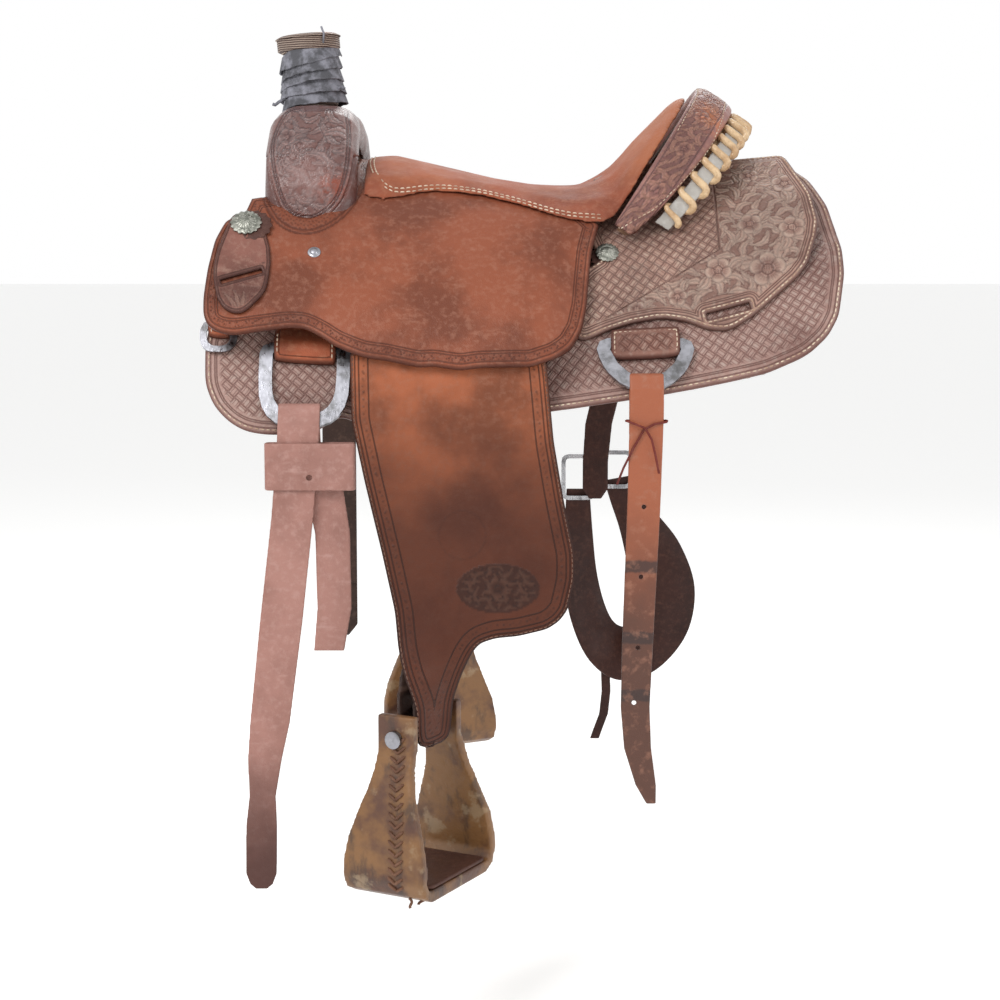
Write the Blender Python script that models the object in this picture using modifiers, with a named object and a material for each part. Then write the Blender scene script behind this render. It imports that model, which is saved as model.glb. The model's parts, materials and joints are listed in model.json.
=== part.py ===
"""A western roping saddle: tree, leathers, rigging, fenders and stirrups, in metres, +Z up.

+X runs to the horse's tail, -Y is the near (left) side. The origin lies midway between the bars,
at the level of the horse's back. Side leathers are cut flat and wrapped on one curved form, in
layers: every place on a side is given by x, the distance s down the side, and the lift h off it.
"""
import math

import bmesh
import bpy
from mathutils import Matrix, Vector

for thing in list(bpy.data.objects):
    bpy.data.objects.remove(thing)

# Clearance between seated pieces
GAP = 0.0003

# The form of the horse's side that the skirts are blocked on: two arcs that meet over the spine
FORM_RADIUS = 0.430
ARC_OFFSET = 0.190
FORM_Z = -0.287
ROCKER = 0.16
ROCKER_X = -0.03
GRID_S = (-0.045, 0.0, 0.045, 0.09, 0.130, 0.160, 0.1775, 0.215, 0.255, 0.295, 0.335, 0.380)
GRID_X = (-0.36, -0.27, -0.19, -0.11, -0.03, 0.05, 0.13, 0.21, 0.30, 0.36)

# Layer thicknesses, from the horse outward
FLEECE = 0.0147
FLEECE_PRESSED = 0.006
SKIRT = 0.0077
BAR = 0.0124
BAR_CROWN = 0.004
JOCKEY = 0.005
REAR_JOCKEY = 0.005
RIGGING_LEATHER = 0.003
FENDER = 0.004
STIRRUP_LEATHER = 0.004
CARRIER = 0.004

# How far down the side the bars bear, and where the fleece has its full loft below them
BAR_LOW = 0.160
BAR_FREE = 0.1775
SEAT_LIFT = 0.055
JOCKEY_EDGE_LIFT = 0.063

# Fork: swells, gullet and cover
FORK_X = -0.2365
FORK_WIDTH = 0.103
FORK_COVER = 0.003
GULLET_LINING = 0.004

# Horn
HORN_X = -0.243
HORN_LEAN = 5.0
HORN_POST_R = 0.0255
HORN_BASE_R = 0.0275
HORN_BASE = 0.004
HORN_NECK = 0.006
HORN_CAP_R = 0.036
HORN_TOP = 0.263
HORN_CAP = 0.012
CAP_COVER = 0.004
WRAP_BAND = 0.0073
WRAP_GAP = 0.0006
WRAP_STEPS = 24

# Cantle: the rim curve lies in a plane that leans back
CANTLE_X = 0.085
CANTLE_Z = 0.040
CANTLE_LEAN = 32.9
CANTLE_HALF = 0.155
CANTLE_RISE = 0.197
ROLL_WIDTH = 0.050
ROLL_END = 0.014
ROLL_HALF = 0.009
SEAT_TUCK = 0.011
CANTLE_BOARD = 0.016
LACE_R = 0.0017
LACE_TURNS = 20
CORE_WIDTH = 0.019
CORE_THICK = 0.0024

# Seat pad
PAD_EDGE = 0.003
PAD_CROWN = 0.007
GROUND_SEAT = 0.003

# Rigging
DEE_THICK = 0.005
DEE_BAR = 0.014
DEE_TOP_BAR = 0.008
FRONT_DEE = (-0.236, 0.282, 0.096, 0.096)
REAR_DEE = (0.124, 0.274, 0.104, 0.060)
DEE_CLEAR = 0.0004
BREAST_DEE = (-0.328, 0.262, 0.040, 0.038)
BREAST_BAR = 0.007
BREAST_TOP_BAR = 0.005
BREAST_THICK = 0.003
LOOP_ROOM = 1.18
LOOP_REACH = 0.0075
LOOP_FALL = 0.0075
DEE_SQUARE = 0.72

# Fender and stirrup
LEATHER_X = -0.075
BOLT_X = -0.100
LEATHER_TOP = 0.115
HANG_FROM = 0.155
DROP_S = 0.291
DROP_LIFT = 0.051
FLARE = 11.0
BOLT_DROP = 0.390
BOLT_SET = 0.0146
BOLT_R = 0.0055
SLEEVE_R = 0.008
TWIST = 62.0
TWIST_FROM = 0.290
TWIST_TO = 0.375
LEATHER_HALF = 0.032
TONGUE_HALF = 0.034
STIRRUP_NECK = 0.080
STIRRUP_WIDTH = 0.135
STIRRUP_HEIGHT = 0.187
STIRRUP_WALL = 0.011
STIRRUP_DEPTH_TOP = 0.042
STIRRUP_DEPTH_LOW = 0.095
STIRRUP_OVER_BOLT = 0.024
TREAD = 0.004

# Straps
STRAP = 0.003
BILLET_WIDTH = 0.036

NEAR = -1
PHI_TOP = math.asin(ARC_OFFSET / FORM_RADIUS)

saddle = bpy.data.collections.new("team_roping_saddle")
bpy.context.scene.collection.children.link(saddle)
cutters = bpy.data.collections.new("cutters")
bpy.context.scene.collection.children.link(cutters)


def finish(name, colour, roughness=0.6, metallic=0.0):
    """A Principled material."""
    mat = bpy.data.materials.new(name)
    mat.use_nodes = True
    shader = mat.node_tree.nodes["Principled BSDF"]
    shader.inputs["Base Color"].default_value = (*colour, 1)
    shader.inputs["Roughness"].default_value = roughness
    shader.inputs["Metallic"].default_value = metallic
    return mat


def add(name, data, colour, roughness=0.6, metallic=0.0, group=saddle):
    """An object of its own, with its own material."""
    obj = bpy.data.objects.new(name, data)
    group.objects.link(obj)
    data.materials.append(finish(name, colour, roughness, metallic))
    return obj


def smooth_step(t):
    t = min(1.0, max(0.0, t))
    return t * t * (3 - 2 * t)


def rocker(x):
    """How far the form rises towards its two ends."""
    return ROCKER * (x - ROCKER_X) ** 2


def between(lines, at):
    """The two grid lines on either side of a place, and its share of the way between them."""
    i = 0
    while i < len(lines) - 2 and at > lines[i + 1]:
        i += 1
    return lines[i], lines[i + 1], (at - lines[i]) / (lines[i + 1] - lines[i])


def arc(s, h):
    """Y and Z of the curved form at a distance s down the side."""
    phi = PHI_TOP + s / FORM_RADIUS
    r = FORM_RADIUS + h
    return Vector((r * math.sin(phi) - ARC_OFFSET, FORM_Z + r * math.cos(phi)))


def form(x, s, h, side=NEAR):
    """The point a distance s down the side from the ridge, lifted h off the form.

    The form is flat between the grid's lines, so that leathers cut on them lie flat on each other."""
    above, below, share = between(GRID_S, s)
    y, z = arc(above, h).lerp(arc(below, h), share)
    behind, ahead, along = between(GRID_X, x)
    return Vector((x, side * y, z + rocker(behind) * (1 - along) + rocker(ahead) * along))


def form_down(s, side=NEAR):
    phi = PHI_TOP + s / FORM_RADIUS
    return Vector((0, side * math.cos(phi), -math.sin(phi)))


def form_z(x, y, h):
    """Height of the lifted form over a place in plan."""
    low, high = GRID_S[0], GRID_S[-1]
    for _ in range(30):
        middle = (low + high) / 2
        if form(x, middle, h, 1).y < abs(y):
            low = middle
        else:
            high = middle
    return form(x, low, h, 1).z


def table(rows, at):
    """A smooth curve through rows of (place, value, ...), read at a place."""
    count = len(rows)
    i = 0
    while i < count - 2 and at > rows[i + 1][0]:
        i += 1
    a, b, c, d = rows[max(i - 1, 0)], rows[i], rows[i + 1], rows[min(i + 2, count - 1)]
    t = min(1.0, max(0.0, (at - b[0]) / (c[0] - b[0])))
    out = []
    for p, q, r, s in zip(a[1:], b[1:], c[1:], d[1:]):
        out.append(0.5 * (2 * q + (r - p) * t + (2 * p - 5 * q + 4 * r - s) * t * t
                          + (3 * q - p - 3 * r + s) * t ** 3))
    return out[0] if len(out) == 1 else Vector(out)


SLIGHT_BEND = math.radians(16)


def round_corners(points, radius, steps=3):
    """An outline with each corner turned into an arc; a third number sets a corner's own radius."""
    out = []
    count = len(points)
    for i, point in enumerate(points):
        here = Vector(point[:2])
        before = Vector(points[i - 1][:2]) - here
        after = Vector(points[(i + 1) % count][:2]) - here
        r = point[2] if len(point) > 2 else radius
        reach = min(r, 0.49 * before.length, 0.49 * after.length)
        bend = math.pi - before.angle(after)
        if reach < 1e-5 or bend < SLIGHT_BEND:
            out.append(tuple(here))
            continue
        a = here + before.normalized() * reach
        b = here + after.normalized() * reach
        count_here = 1 if bend < 2 * SLIGHT_BEND else steps
        for k in range(count_here + 1):
            t = k / count_here
            out.append(tuple(a * (1 - t) ** 2 + here * 2 * t * (1 - t) + b * t * t))
    return out


def cut(bm, x=None, y=None):
    """Cut every face of a flat pattern along a line."""
    place, normal = ((x, 0, 0), (1, 0, 0)) if x is not None else ((0, y, 0), (0, 1, 0))
    everything = bm.verts[:] + bm.edges[:] + bm.faces[:]
    bmesh.ops.bisect_plane(bm, geom=everything, dist=1e-6, plane_co=place, plane_no=normal)


def pattern(points, rows=(), columns=(), slots=()):
    """A flat leather pattern, cut into strips so that it can bend, with any slots taken out.

    A slot is its middle, half length, half width and slant."""
    bm = bmesh.new()
    bm.faces.new([bm.verts.new((x, s, 0)) for x, s in points])
    for x in columns:
        cut(bm, x=x)
    for y in rows:
        cut(bm, y=y)
    for x, y, half_length, half_width, slant in slots:
        along = Vector((math.cos(slant), math.sin(slant), 0))
        across = Vector((-along.y, along.x, 0))
        middle = Vector((x, y, 0))
        for direction, reach in ((along, half_length), (across, half_width)):
            for sign in (-1, 1):
                bmesh.ops.bisect_plane(bm, geom=bm.verts[:] + bm.edges[:] + bm.faces[:], dist=1e-6,
                                       plane_co=middle + direction * reach * sign, plane_no=direction)
        inside = []
        for face in bm.faces:
            off = face.calc_center_median() - middle
            if abs(off.dot(along)) < half_length and abs(off.dot(across)) < half_width:
                inside.append(face)
        bmesh.ops.delete(bm, geom=inside, context="FACES")
    return bm


def grid_lines(lines, places):
    """The grid's lines that cross a piece."""
    low, high = min(places) + 0.0015, max(places) - 0.0015
    return [line for line in lines if low < line < high]


def thicken(name, bm, under, over, colour, roughness=0.6):
    """A flat pattern made a body: each of its points has a place on the under face and on the face."""
    lower = bm.verts[:]
    raised = bmesh.ops.extrude_face_region(bm, geom=bm.faces[:])
    for v in [v for v in raised["geom"] if isinstance(v, bmesh.types.BMVert)]:
        v.co = over(v.co.x, v.co.y)
    for v in lower:
        v.co = under(v.co.x, v.co.y)
    bmesh.ops.triangulate(bm, faces=bm.faces[:], quad_method="SHORT_EDGE")
    bmesh.ops.recalc_face_normals(bm, faces=bm.faces[:])
    mesh = bpy.data.meshes.new(name)
    bm.to_mesh(mesh)
    bm.free()
    return add(name, mesh, colour, roughness)


def panel(name, points, low, high, colour, roughness=0.6, rows=(), columns=(), slots=()):
    """A side leather: its pattern in (x, s), wrapped on the form between two lifts."""
    rows = sorted(set(rows) | set(grid_lines(GRID_S, [s for _, s in points])))
    columns = sorted(set(columns) | set(grid_lines(GRID_X, [x for x, _ in points])))
    return thicken(name, pattern(points, rows, columns, slots), lambda x, s: form(x, s, low(x, s)),
                   lambda x, s: form(x, s, high(x, s)), colour, roughness)


def thick_panel(name, points, lift, thick, colour, roughness=0.6, rows=(), columns=(), slots=()):
    """A side leather of one thickness, lying at a lift."""
    return panel(name, points, lift, lambda x, s: lift(x, s) + thick, colour, roughness, rows, columns, slots)


def loft(name, rings, colour, roughness=0.6, metallic=0.0):
    """Skin closed rings of points, one after another, and close the ends."""
    bm = bmesh.new()
    grid = [[bm.verts.new(p) for p in ring] for ring in rings]
    count = len(grid[0])
    for a, b in zip(grid, grid[1:]):
        for i in range(count):
            j = (i + 1) % count
            bm.faces.new((a[i], a[j], b[j], b[i]))
    bm.faces.new(grid[0][::-1])
    bm.faces.new(grid[-1])
    bmesh.ops.recalc_face_normals(bm, faces=bm.faces[:])
    mesh = bpy.data.meshes.new(name)
    bm.to_mesh(mesh)
    bm.free()
    return add(name, mesh, colour, roughness, metallic)


def ribbon(name, stations, thick, colour, roughness=0.6):
    """A strap: (centre, half width vector) at each station, with a thickness."""
    rings = []
    last = len(stations) - 1
    for i, (centre, half) in enumerate(stations):
        ahead = stations[min(i + 1, last)][0] - stations[max(i - 1, 0)][0]
        up = ahead.cross(half).normalized() * (thick / 2)
        rings.append([centre - half - up, centre + half - up, centre + half + up, centre - half + up])
    return loft(name, rings, colour, roughness)


def plate(name, outlines, thick, matrix, colour, roughness=0.6, metallic=0.0):
    """A flat plate from closed outlines, the later ones being holes."""
    curve = bpy.data.curves.new(name, "CURVE")
    curve.dimensions = "2D"
    curve.fill_mode = "BOTH"
    curve.extrude = thick / 2
    for outline in outlines:
        spline = curve.splines.new("POLY")
        spline.points.add(len(outline) - 1)
        for point, (x, y) in zip(spline.points, outline):
            point.co = (x, y, 0, 1)
        spline.use_cyclic_u = True
    obj = add(name, curve, colour, roughness, metallic)
    obj.matrix_world = matrix
    return obj


def turned(name, profile, matrix, colour, roughness=0.6, metallic=0.0, count=24):
    """A turned piece: its profile at +X, top to bottom, swept by Screw."""
    mesh = bpy.data.meshes.new(name)
    bm = bmesh.new()
    verts = [bm.verts.new((r, 0, z)) for r, z in profile]
    for a, b in zip(verts, verts[1:]):
        bm.edges.new((a, b))
    bm.to_mesh(mesh)
    bm.free()
    obj = add(name, mesh, colour, roughness, metallic)
    obj.matrix_world = matrix
    screw = obj.modifiers.new("turn", "SCREW")
    screw.steps = count
    screw.render_steps = count
    screw.use_merge_vertices = True
    screw.merge_threshold = 1e-5
    screw.use_smooth_shade = True
    return obj


def tube(name, points, radius, colour, roughness=0.6, metallic=0.0, resolution=2, cyclic=False):
    """A round cord or wire along its points."""
    curve = bpy.data.curves.new(name, "CURVE")
    curve.dimensions = "3D"
    curve.bevel_depth = radius
    curve.bevel_resolution = resolution
    curve.use_fill_caps = True
    spline = curve.splines.new("POLY")
    spline.points.add(len(points) - 1)
    for point, place in zip(spline.points, points):
        point.co = (*place, 1)
    spline.use_cyclic_u = cyclic
    return add(name, curve, colour, roughness, metallic)


def subtract(obj, cutter):
    cutter.hide_render = True
    cutter.display_type = "WIRE"
    saddle.objects.unlink(cutter)
    cutters.objects.link(cutter)
    hole = obj.modifiers.new("hole", "BOOLEAN")
    hole.object = cutter
    hole.solver = "EXACT"


def to_off_side(near_name, off_name):
    """The off side's copy of a near piece, mirrored across the saddle's middle plane."""
    near = bpy.data.objects[near_name]
    bpy.context.view_layer.update()
    mesh = bpy.data.meshes.new_from_object(near.evaluated_get(bpy.context.evaluated_depsgraph_get()))
    mesh.transform(near.matrix_world)
    mesh.transform(Matrix.Diagonal((1, -1, 1, 1)))
    mesh.flip_normals()
    mesh.name = off_name
    colour = mesh.materials[0].node_tree.nodes["Principled BSDF"]
    mesh.materials.clear()
    return add(off_name, mesh, colour.inputs["Base Color"].default_value[:3],
               colour.inputs["Roughness"].default_value, colour.inputs["Metallic"].default_value)


def frame_at(place, x_axis, y_axis):
    """A matrix whose X and Y lie along two directions."""
    x_axis = x_axis.normalized()
    z_axis = x_axis.cross(y_axis).normalized()
    y_axis = z_axis.cross(x_axis)
    matrix = Matrix((x_axis, y_axis, z_axis)).transposed().to_4x4()
    matrix.translation = place
    return matrix


# Colours from the photograph
RUSSET = (0.20, 0.075, 0.035)
BROWN = (0.13, 0.055, 0.030)
DARK = (0.055, 0.025, 0.016)
ORANGE = (0.32, 0.12, 0.045)
TAN = (0.42, 0.22, 0.10)
ROUGHOUT = (0.17, 0.085, 0.05)
WOOL = (0.62, 0.54, 0.42)
RAWHIDE = (0.62, 0.50, 0.32)
WOOD = (0.45, 0.29, 0.15)
RUBBER = (0.02, 0.02, 0.022)
LATIGO = (0.30, 0.15, 0.10)
STEEL = (0.62, 0.61, 0.58)

# Fleece and skirts: wrapped panels; under the bars the wool is pressed thin
SKIRT_OUTLINE = round_corners([
    (0.2936, 0.012), (0.318, 0.054), (0.333, 0.105), (0.341, 0.175), (0.340, 0.235, 0.03),
    (0.322, 0.282, 0.03), (0.272, 0.3105, 0.02), (0.176, 0.3237), (0.023, 0.341), (-0.135, 0.364),
    (-0.188, 0.354, 0.01), (-0.196, 0.349, 0.008), (-0.207, 0.354, 0.008), (-0.223, 0.369, 0.01),
    (-0.271, 0.3735), (-0.300, 0.3735, 0.025), (-0.334, 0.352, 0.025), (-0.346, 0.305, 0.02),
    (-0.336, 0.250), (-0.330, 0.190), (-0.322, 0.130), (-0.300, 0.080, 0.02), (-0.262, 0.052, 0.02),
    (-0.150, 0.060), (0.0, 0.078), (0.120, 0.060), (0.190, 0.014, 0.02)], 0.012, 2)
FLEECE_INSET = 0.004


def ramp(at, low, high):
    """0 up to low, 1 from high on, straight between."""
    return min(1.0, max(0.0, (at - low) / (high - low)))


def under_bars(s):
    """0 where the bars bear, 1 below them."""
    return ramp(s, BAR_LOW, BAR_FREE)


def skirt_lift(x, s):
    return GAP + FLEECE_PRESSED + (FLEECE - FLEECE_PRESSED) * under_bars(s)


def on_skirt(x, s):
    """The lift of the skirt's face, where rigging and bars lie."""
    return skirt_lift(x, s) + SKIRT + GAP


def inset(points, by):
    """An outline drawn in by a margin."""
    out = []
    count = len(points)
    turn = sum(points[i - 1][0] * points[i][1] - points[i][0] * points[i - 1][1] for i in range(count))
    sign = 1 if turn > 0 else -1
    for i, point in enumerate(points):
        along = Vector(points[(i + 1) % count]) - Vector(points[i - 1])
        inward = Vector((-along.y, along.x)).normalized() * sign
        out.append((point[0] + inward.x * by, point[1] + inward.y * by))
    return out


thick_panel("skirt_near", SKIRT_OUTLINE, skirt_lift, SKIRT, BROWN, 0.55)
panel("fleece_near", inset(SKIRT_OUTLINE, FLEECE_INSET), lambda x, s: 0.0,
      lambda x, s: skirt_lift(x, s) - GAP, WOOL, 0.95)

# Tree bars: broad pads under fork and cantle, narrow at the waist, crowned where the leather hangs
BAR_OUTLINE = round_corners([
    (-0.262, 0.066), (-0.270, 0.105), (-0.258, 0.150), (-0.200, 0.159), (-0.120, 0.152),
    (-0.020, 0.148), (0.070, 0.152), (0.180, 0.158), (0.240, 0.142), (0.258, 0.105), (0.248, 0.070),
    (0.170, 0.062), (0.110, 0.086), (0.050, 0.098), (-0.060, 0.098), (-0.150, 0.092), (-0.190, 0.066)],
    0.02, 2)


def bar_lift(x, s):
    off = (x - LEATHER_X) / LEATHER_HALF
    return on_skirt(x, s) + BAR + BAR_CROWN * max(0.0, 1 - off * off)


panel("tree_bar_near", BAR_OUTLINE, on_skirt, bar_lift, WOOD, 0.7,
      columns=[LEATHER_X + LEATHER_HALF * k for k in (-1, -0.5, 0, 0.5, 1)])


# Fork: rounded sections carried over an arch from foot to foot
FORK_ARCH = [(0.0, 0.124, 0.052, 0.026), (0.25, 0.121, 0.098, 0.031), (0.5, 0.100, 0.136, 0.034),
             (0.75, 0.052, 0.155, 0.030), (1.0, 0.0, 0.1605, 0.0255)]
FORK_SIDES = 20
FORK_STATIONS = 11
FOOT_CLEAR = 0.0016


def fork_ring(t, inset_by, side, angles, foot_lift):
    """One section of the fork: t runs 0 at the foot to 1 at the middle."""
    y, z, half = table(FORK_ARCH, t)
    before = table(FORK_ARCH, max(0.0, t - 0.02))
    after = table(FORK_ARCH, min(1.0, t + 0.02))
    along = Vector((after[0] - before[0], after[1] - before[1])).normalized()
    if t >= 1.0:
        along = Vector((-1, 0))
    outward = Vector((-along.y, along.x))
    if outward.y < 0 and t > 0.3:
        outward = -outward
    if t <= 0.3 and outward.x < 0:
        outward = -outward
    wide = FORK_WIDTH / 2 - inset_by - 0.006 * t ** 3
    thick = half - inset_by
    ring = []
    for angle in angles:
        c, s = math.cos(angle), math.sin(angle)
        across = math.copysign(abs(c) ** 0.6, c) * wide
        out = math.copysign(abs(s) ** 0.8, s) * thick
        yy = y + outward.x * out
        zz = z + outward.y * out
        x = FORK_X - across
        if t < 0.2:
            floor = form_z(x, yy, foot_lift)
            zz = floor if t == 0 else max(zz, floor + 0.004)
        ring.append(Vector((x, side * yy, zz)))
    return ring


def fork_rings(inset_by, angles, foot_lift):
    rings = []
    half = FORK_STATIONS // 2
    for i in range(half + 1):
        rings.append(fork_ring(i / half, inset_by, NEAR, angles, foot_lift))
    for i in range(half - 1, -1, -1):
        rings.append(fork_ring(i / half, inset_by, 1, angles, foot_lift))
    return rings


def spread(low, high, count):
    return [math.radians(low + (high - low) * i / (count - 1)) for i in range(count)]


all_round = [2 * math.pi * i / FORK_SIDES for i in range(FORK_SIDES)]
BAR_TOP = FLEECE_PRESSED + 2 * GAP + SKIRT + BAR
loft("tree_fork", fork_rings(FORK_COVER + GAP, all_round, BAR_TOP + FOOT_CLEAR), WOOD, 0.7)


def open_shell(name, rows, outward, thick, colour, roughness=0.6):
    """A leather laid over rows of points, with Solidify's thickness outward."""
    bm = bmesh.new()
    grid = [[bm.verts.new(p) for p in row] for row in rows]
    for a, b in zip(grid, grid[1:]):
        for i in range(len(a) - 1):
            bm.faces.new((a[i], a[i + 1], b[i + 1], b[i]))
    bm.normal_update()
    if sum(f.normal.dot(outward(f.calc_center_median())) for f in bm.faces) < 0:
        bmesh.ops.reverse_faces(bm, faces=bm.faces[:])
    mesh = bpy.data.meshes.new(name)
    bm.to_mesh(mesh)
    bm.free()
    obj = add(name, mesh, colour, roughness)
    thickness = obj.modifiers.new("thickness", "SOLIDIFY")
    thickness.thickness = thick
    thickness.offset = 1
    return obj


def from_fork(point):
    """Outward from the middle of the arch's material."""
    return Vector((point.x - FORK_X, point.y, point.z - 0.09))


COVER_FOOT = BAR_TOP + FOOT_CLEAR + 0.0012
cover = open_shell("fork_cover", fork_rings(FORK_COVER, spread(-36, 216, 15), COVER_FOOT),
                   from_fork, FORK_COVER, RUSSET, 0.45)
open_shell("gullet_lining", fork_rings(FORK_COVER, spread(234, 306, 5), COVER_FOOT)[2:-2],
           lambda p: Vector((0, -p.y, -0.05)), GULLET_LINING, TAN, 0.6)

# Horn: a post through the cover's hole, a leaning cap, its rawhide cover and the wound rubber
horn_base = table(FORK_ARCH, 1.0)
horn_foot_z = horn_base[1] + horn_base[2] - FORK_COVER


def horn_at(z):
    """A point up the leaning horn's axis."""
    return Matrix.Translation((HORN_X, 0, horn_foot_z)) @ Matrix.Rotation(
        math.radians(-HORN_LEAN), 4, "Y") @ Matrix.Translation((0, 0, z - horn_foot_z))


cap_low = HORN_TOP - HORN_CAP
post_low = horn_foot_z + HORN_BASE_R * math.sin(math.radians(HORN_LEAN)) + 2 * GAP
turned("horn", [(0, HORN_TOP - horn_foot_z), (HORN_CAP_R, HORN_TOP - horn_foot_z),
                (HORN_CAP_R, cap_low - horn_foot_z), (HORN_POST_R, cap_low - HORN_NECK - horn_foot_z),
                (HORN_POST_R, post_low + HORN_BASE - horn_foot_z),
                (HORN_BASE_R, post_low + HORN_BASE - horn_foot_z),
                (HORN_BASE_R, post_low - horn_foot_z), (0, post_low - horn_foot_z)],
       horn_at(horn_foot_z), STEEL, 0.5, 0.8, 28)
hole_r = HORN_BASE_R + 0.0006
hole_profile = [(0, 0.04), (hole_r, 0.04), (hole_r, -0.006), (0, -0.006)]
hole = turned("horn_hole", hole_profile, horn_at(horn_foot_z), STEEL, count=28)
subtract(cover, hole)
# The cover overhangs the iron by 2 mm and has a rounded upper rim
cover_low = HORN_TOP + GAP - horn_foot_z
cover_top = cover_low + CAP_COVER
turned("horn_cap_cover", [(0, cover_top), (HORN_CAP_R - 0.004, cover_top),
                          (HORN_CAP_R + 0.002, cover_top - 0.003),
                          (HORN_CAP_R + 0.002, cover_low), (0, cover_low)],
       horn_at(horn_foot_z), RAWHIDE, 0.6, 0.0, 28)

wrap_points = []
wrap_low = post_low + HORN_BASE + WRAP_BAND + 0.0005
wrap_high = cap_low - HORN_NECK - WRAP_BAND - 0.0005
WRAP_PITCH = 2 * WRAP_BAND + WRAP_GAP
wrap_turns = (wrap_high - wrap_low) / WRAP_PITCH
for i in range(int(wrap_turns * WRAP_STEPS) + 1):
    turn = i / WRAP_STEPS
    angle = 2 * math.pi * turn
    r = HORN_POST_R + WRAP_BAND + 0.0007
    z = wrap_low + turn * WRAP_PITCH - horn_foot_z
    wrap_points.append(horn_at(horn_foot_z) @ Vector((r * math.cos(angle), r * math.sin(angle), z)))
tube("horn_wrap", wrap_points, WRAP_BAND, RUBBER, 0.8, 0.0, 1)


# Cantle: the rim curve and its frame; m points back through the roll, n out from the arch
LEAN = math.radians(CANTLE_LEAN)
RIM_UP = Vector((math.sin(LEAN), 0, math.cos(LEAN)))
RIM_BACK = Vector((math.cos(LEAN), 0, -math.sin(LEAN)))


def rim(u):
    """A point on the rim; u is 0 at the top and 90 degrees at each low end, negative on the near side."""
    return (Vector((CANTLE_X, CANTLE_HALF * math.sin(u), CANTLE_Z))
            + RIM_UP * (CANTLE_RISE * math.cos(u)))


def rim_out(u):
    """Outward from the arch, in the rim's own plane."""
    out = Vector((0, math.sin(u) / CANTLE_HALF, 0)) + RIM_UP * (math.cos(u) / CANTLE_RISE)
    return out.normalized()


def rim_point(u, m, n):
    return rim(u) + RIM_BACK * m + rim_out(u) * n


def roll_width(u):
    return max(ROLL_END, ROLL_WIDTH * max(0.0, math.cos(u)) ** 0.3)


ROLL_END_ANGLE = 86
ROLL_STATIONS = 25
roll_rings = []
for i in range(ROLL_STATIONS):
    u = math.radians(-ROLL_END_ANGLE + 2 * ROLL_END_ANGLE * i / (ROLL_STATIONS - 1))
    wide = roll_width(u) / 2
    thick = ROLL_HALF * (0.55 + 0.45 * math.cos(u))
    ring = []
    for k in range(12):
        a = 2 * math.pi * k / 12
        c, s = math.cos(a), math.sin(a)
        m = wide + 0.0008 + math.copysign(abs(c) ** 0.7, c) * wide
        n = math.copysign(abs(s) ** 0.8, s) * thick
        ring.append(rim_point(u, m, n))
    roll_rings.append(ring)
loft("cantle_roll", roll_rings, DARK, 0.5)

# Cantle board and back: plates in the rim's plane
BOARD_INSET = 0.0115
board = []
BOARD_STEPS = 14
for i in range(BOARD_STEPS + 1):
    u = math.radians(-78 + 156 * i / BOARD_STEPS)
    board.append((math.sin(u) * (CANTLE_HALF - BOARD_INSET), math.cos(u) * (CANTLE_RISE - BOARD_INSET)))
BOARD_M = 0.0075
BACK = 0.004
ARCH_HALF = 0.105
ARCH_RISE = 0.080
ARCH_BASE = 0.045


def board_foot(y):
    """How low the board and its back reach at a place, standing on the bars."""
    far = BOARD_M + CANTLE_BOARD + GAP + BACK
    up = 0.03
    for _ in range(8):
        x = CANTLE_X + RIM_UP.x * up + RIM_BACK.x * far
        up = (form_z(x, y, BAR_TOP + FOOT_CLEAR) - CANTLE_Z - RIM_BACK.z * far) / RIM_UP.z
    return up


feet = [(y, board_foot(y)) for y in (0.140, 0.128, 0.116, 0.104)]
board += feet
for i in range(9):
    u = math.radians(72 - 144 * i / 8)
    board.append((math.sin(u) * ARCH_HALF, math.cos(u) * ARCH_RISE + ARCH_BASE))
board += [(-y, v) for y, v in reversed(feet)]
rim_frame = frame_at(Vector((CANTLE_X, 0, CANTLE_Z)), Vector((0, 1, 0)), RIM_UP)
plate("tree_cantle", [board], CANTLE_BOARD,
      Matrix.Translation(RIM_BACK * (BOARD_M + CANTLE_BOARD / 2)) @ rim_frame, WOOD, 0.7)
plate("cantle_back", [board], BACK,
      Matrix.Translation(RIM_BACK * (BOARD_M + CANTLE_BOARD + GAP + BACK / 2)) @ rim_frame, BROWN, 0.6)

# Rawhide lacing: one lace wound in long stitches over a flat core behind the roll
CORE_END_ANGLE = 78
CORE_STATIONS = 25


def core_middle(u):
    """Middle of the core's section: how far back and out it lies."""
    m = 0.0008 + roll_width(u) + LACE_R * 2 + 0.0009 + CORE_WIDTH / 2
    return m, -0.004


core_rings = []
for i in range(CORE_STATIONS):
    u = math.radians(-CORE_END_ANGLE + 2 * CORE_END_ANGLE * i / (CORE_STATIONS - 1))
    m, n = core_middle(u)
    half_w, half_t = CORE_WIDTH / 2, CORE_THICK / 2
    core_rings.append([rim_point(u, m - half_w, n - half_t), rim_point(u, m + half_w, n - half_t),
                       rim_point(u, m + half_w, n + half_t), rim_point(u, m - half_w, n + half_t)])
loft("lacing_core", core_rings, BROWN, 0.6)

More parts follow.
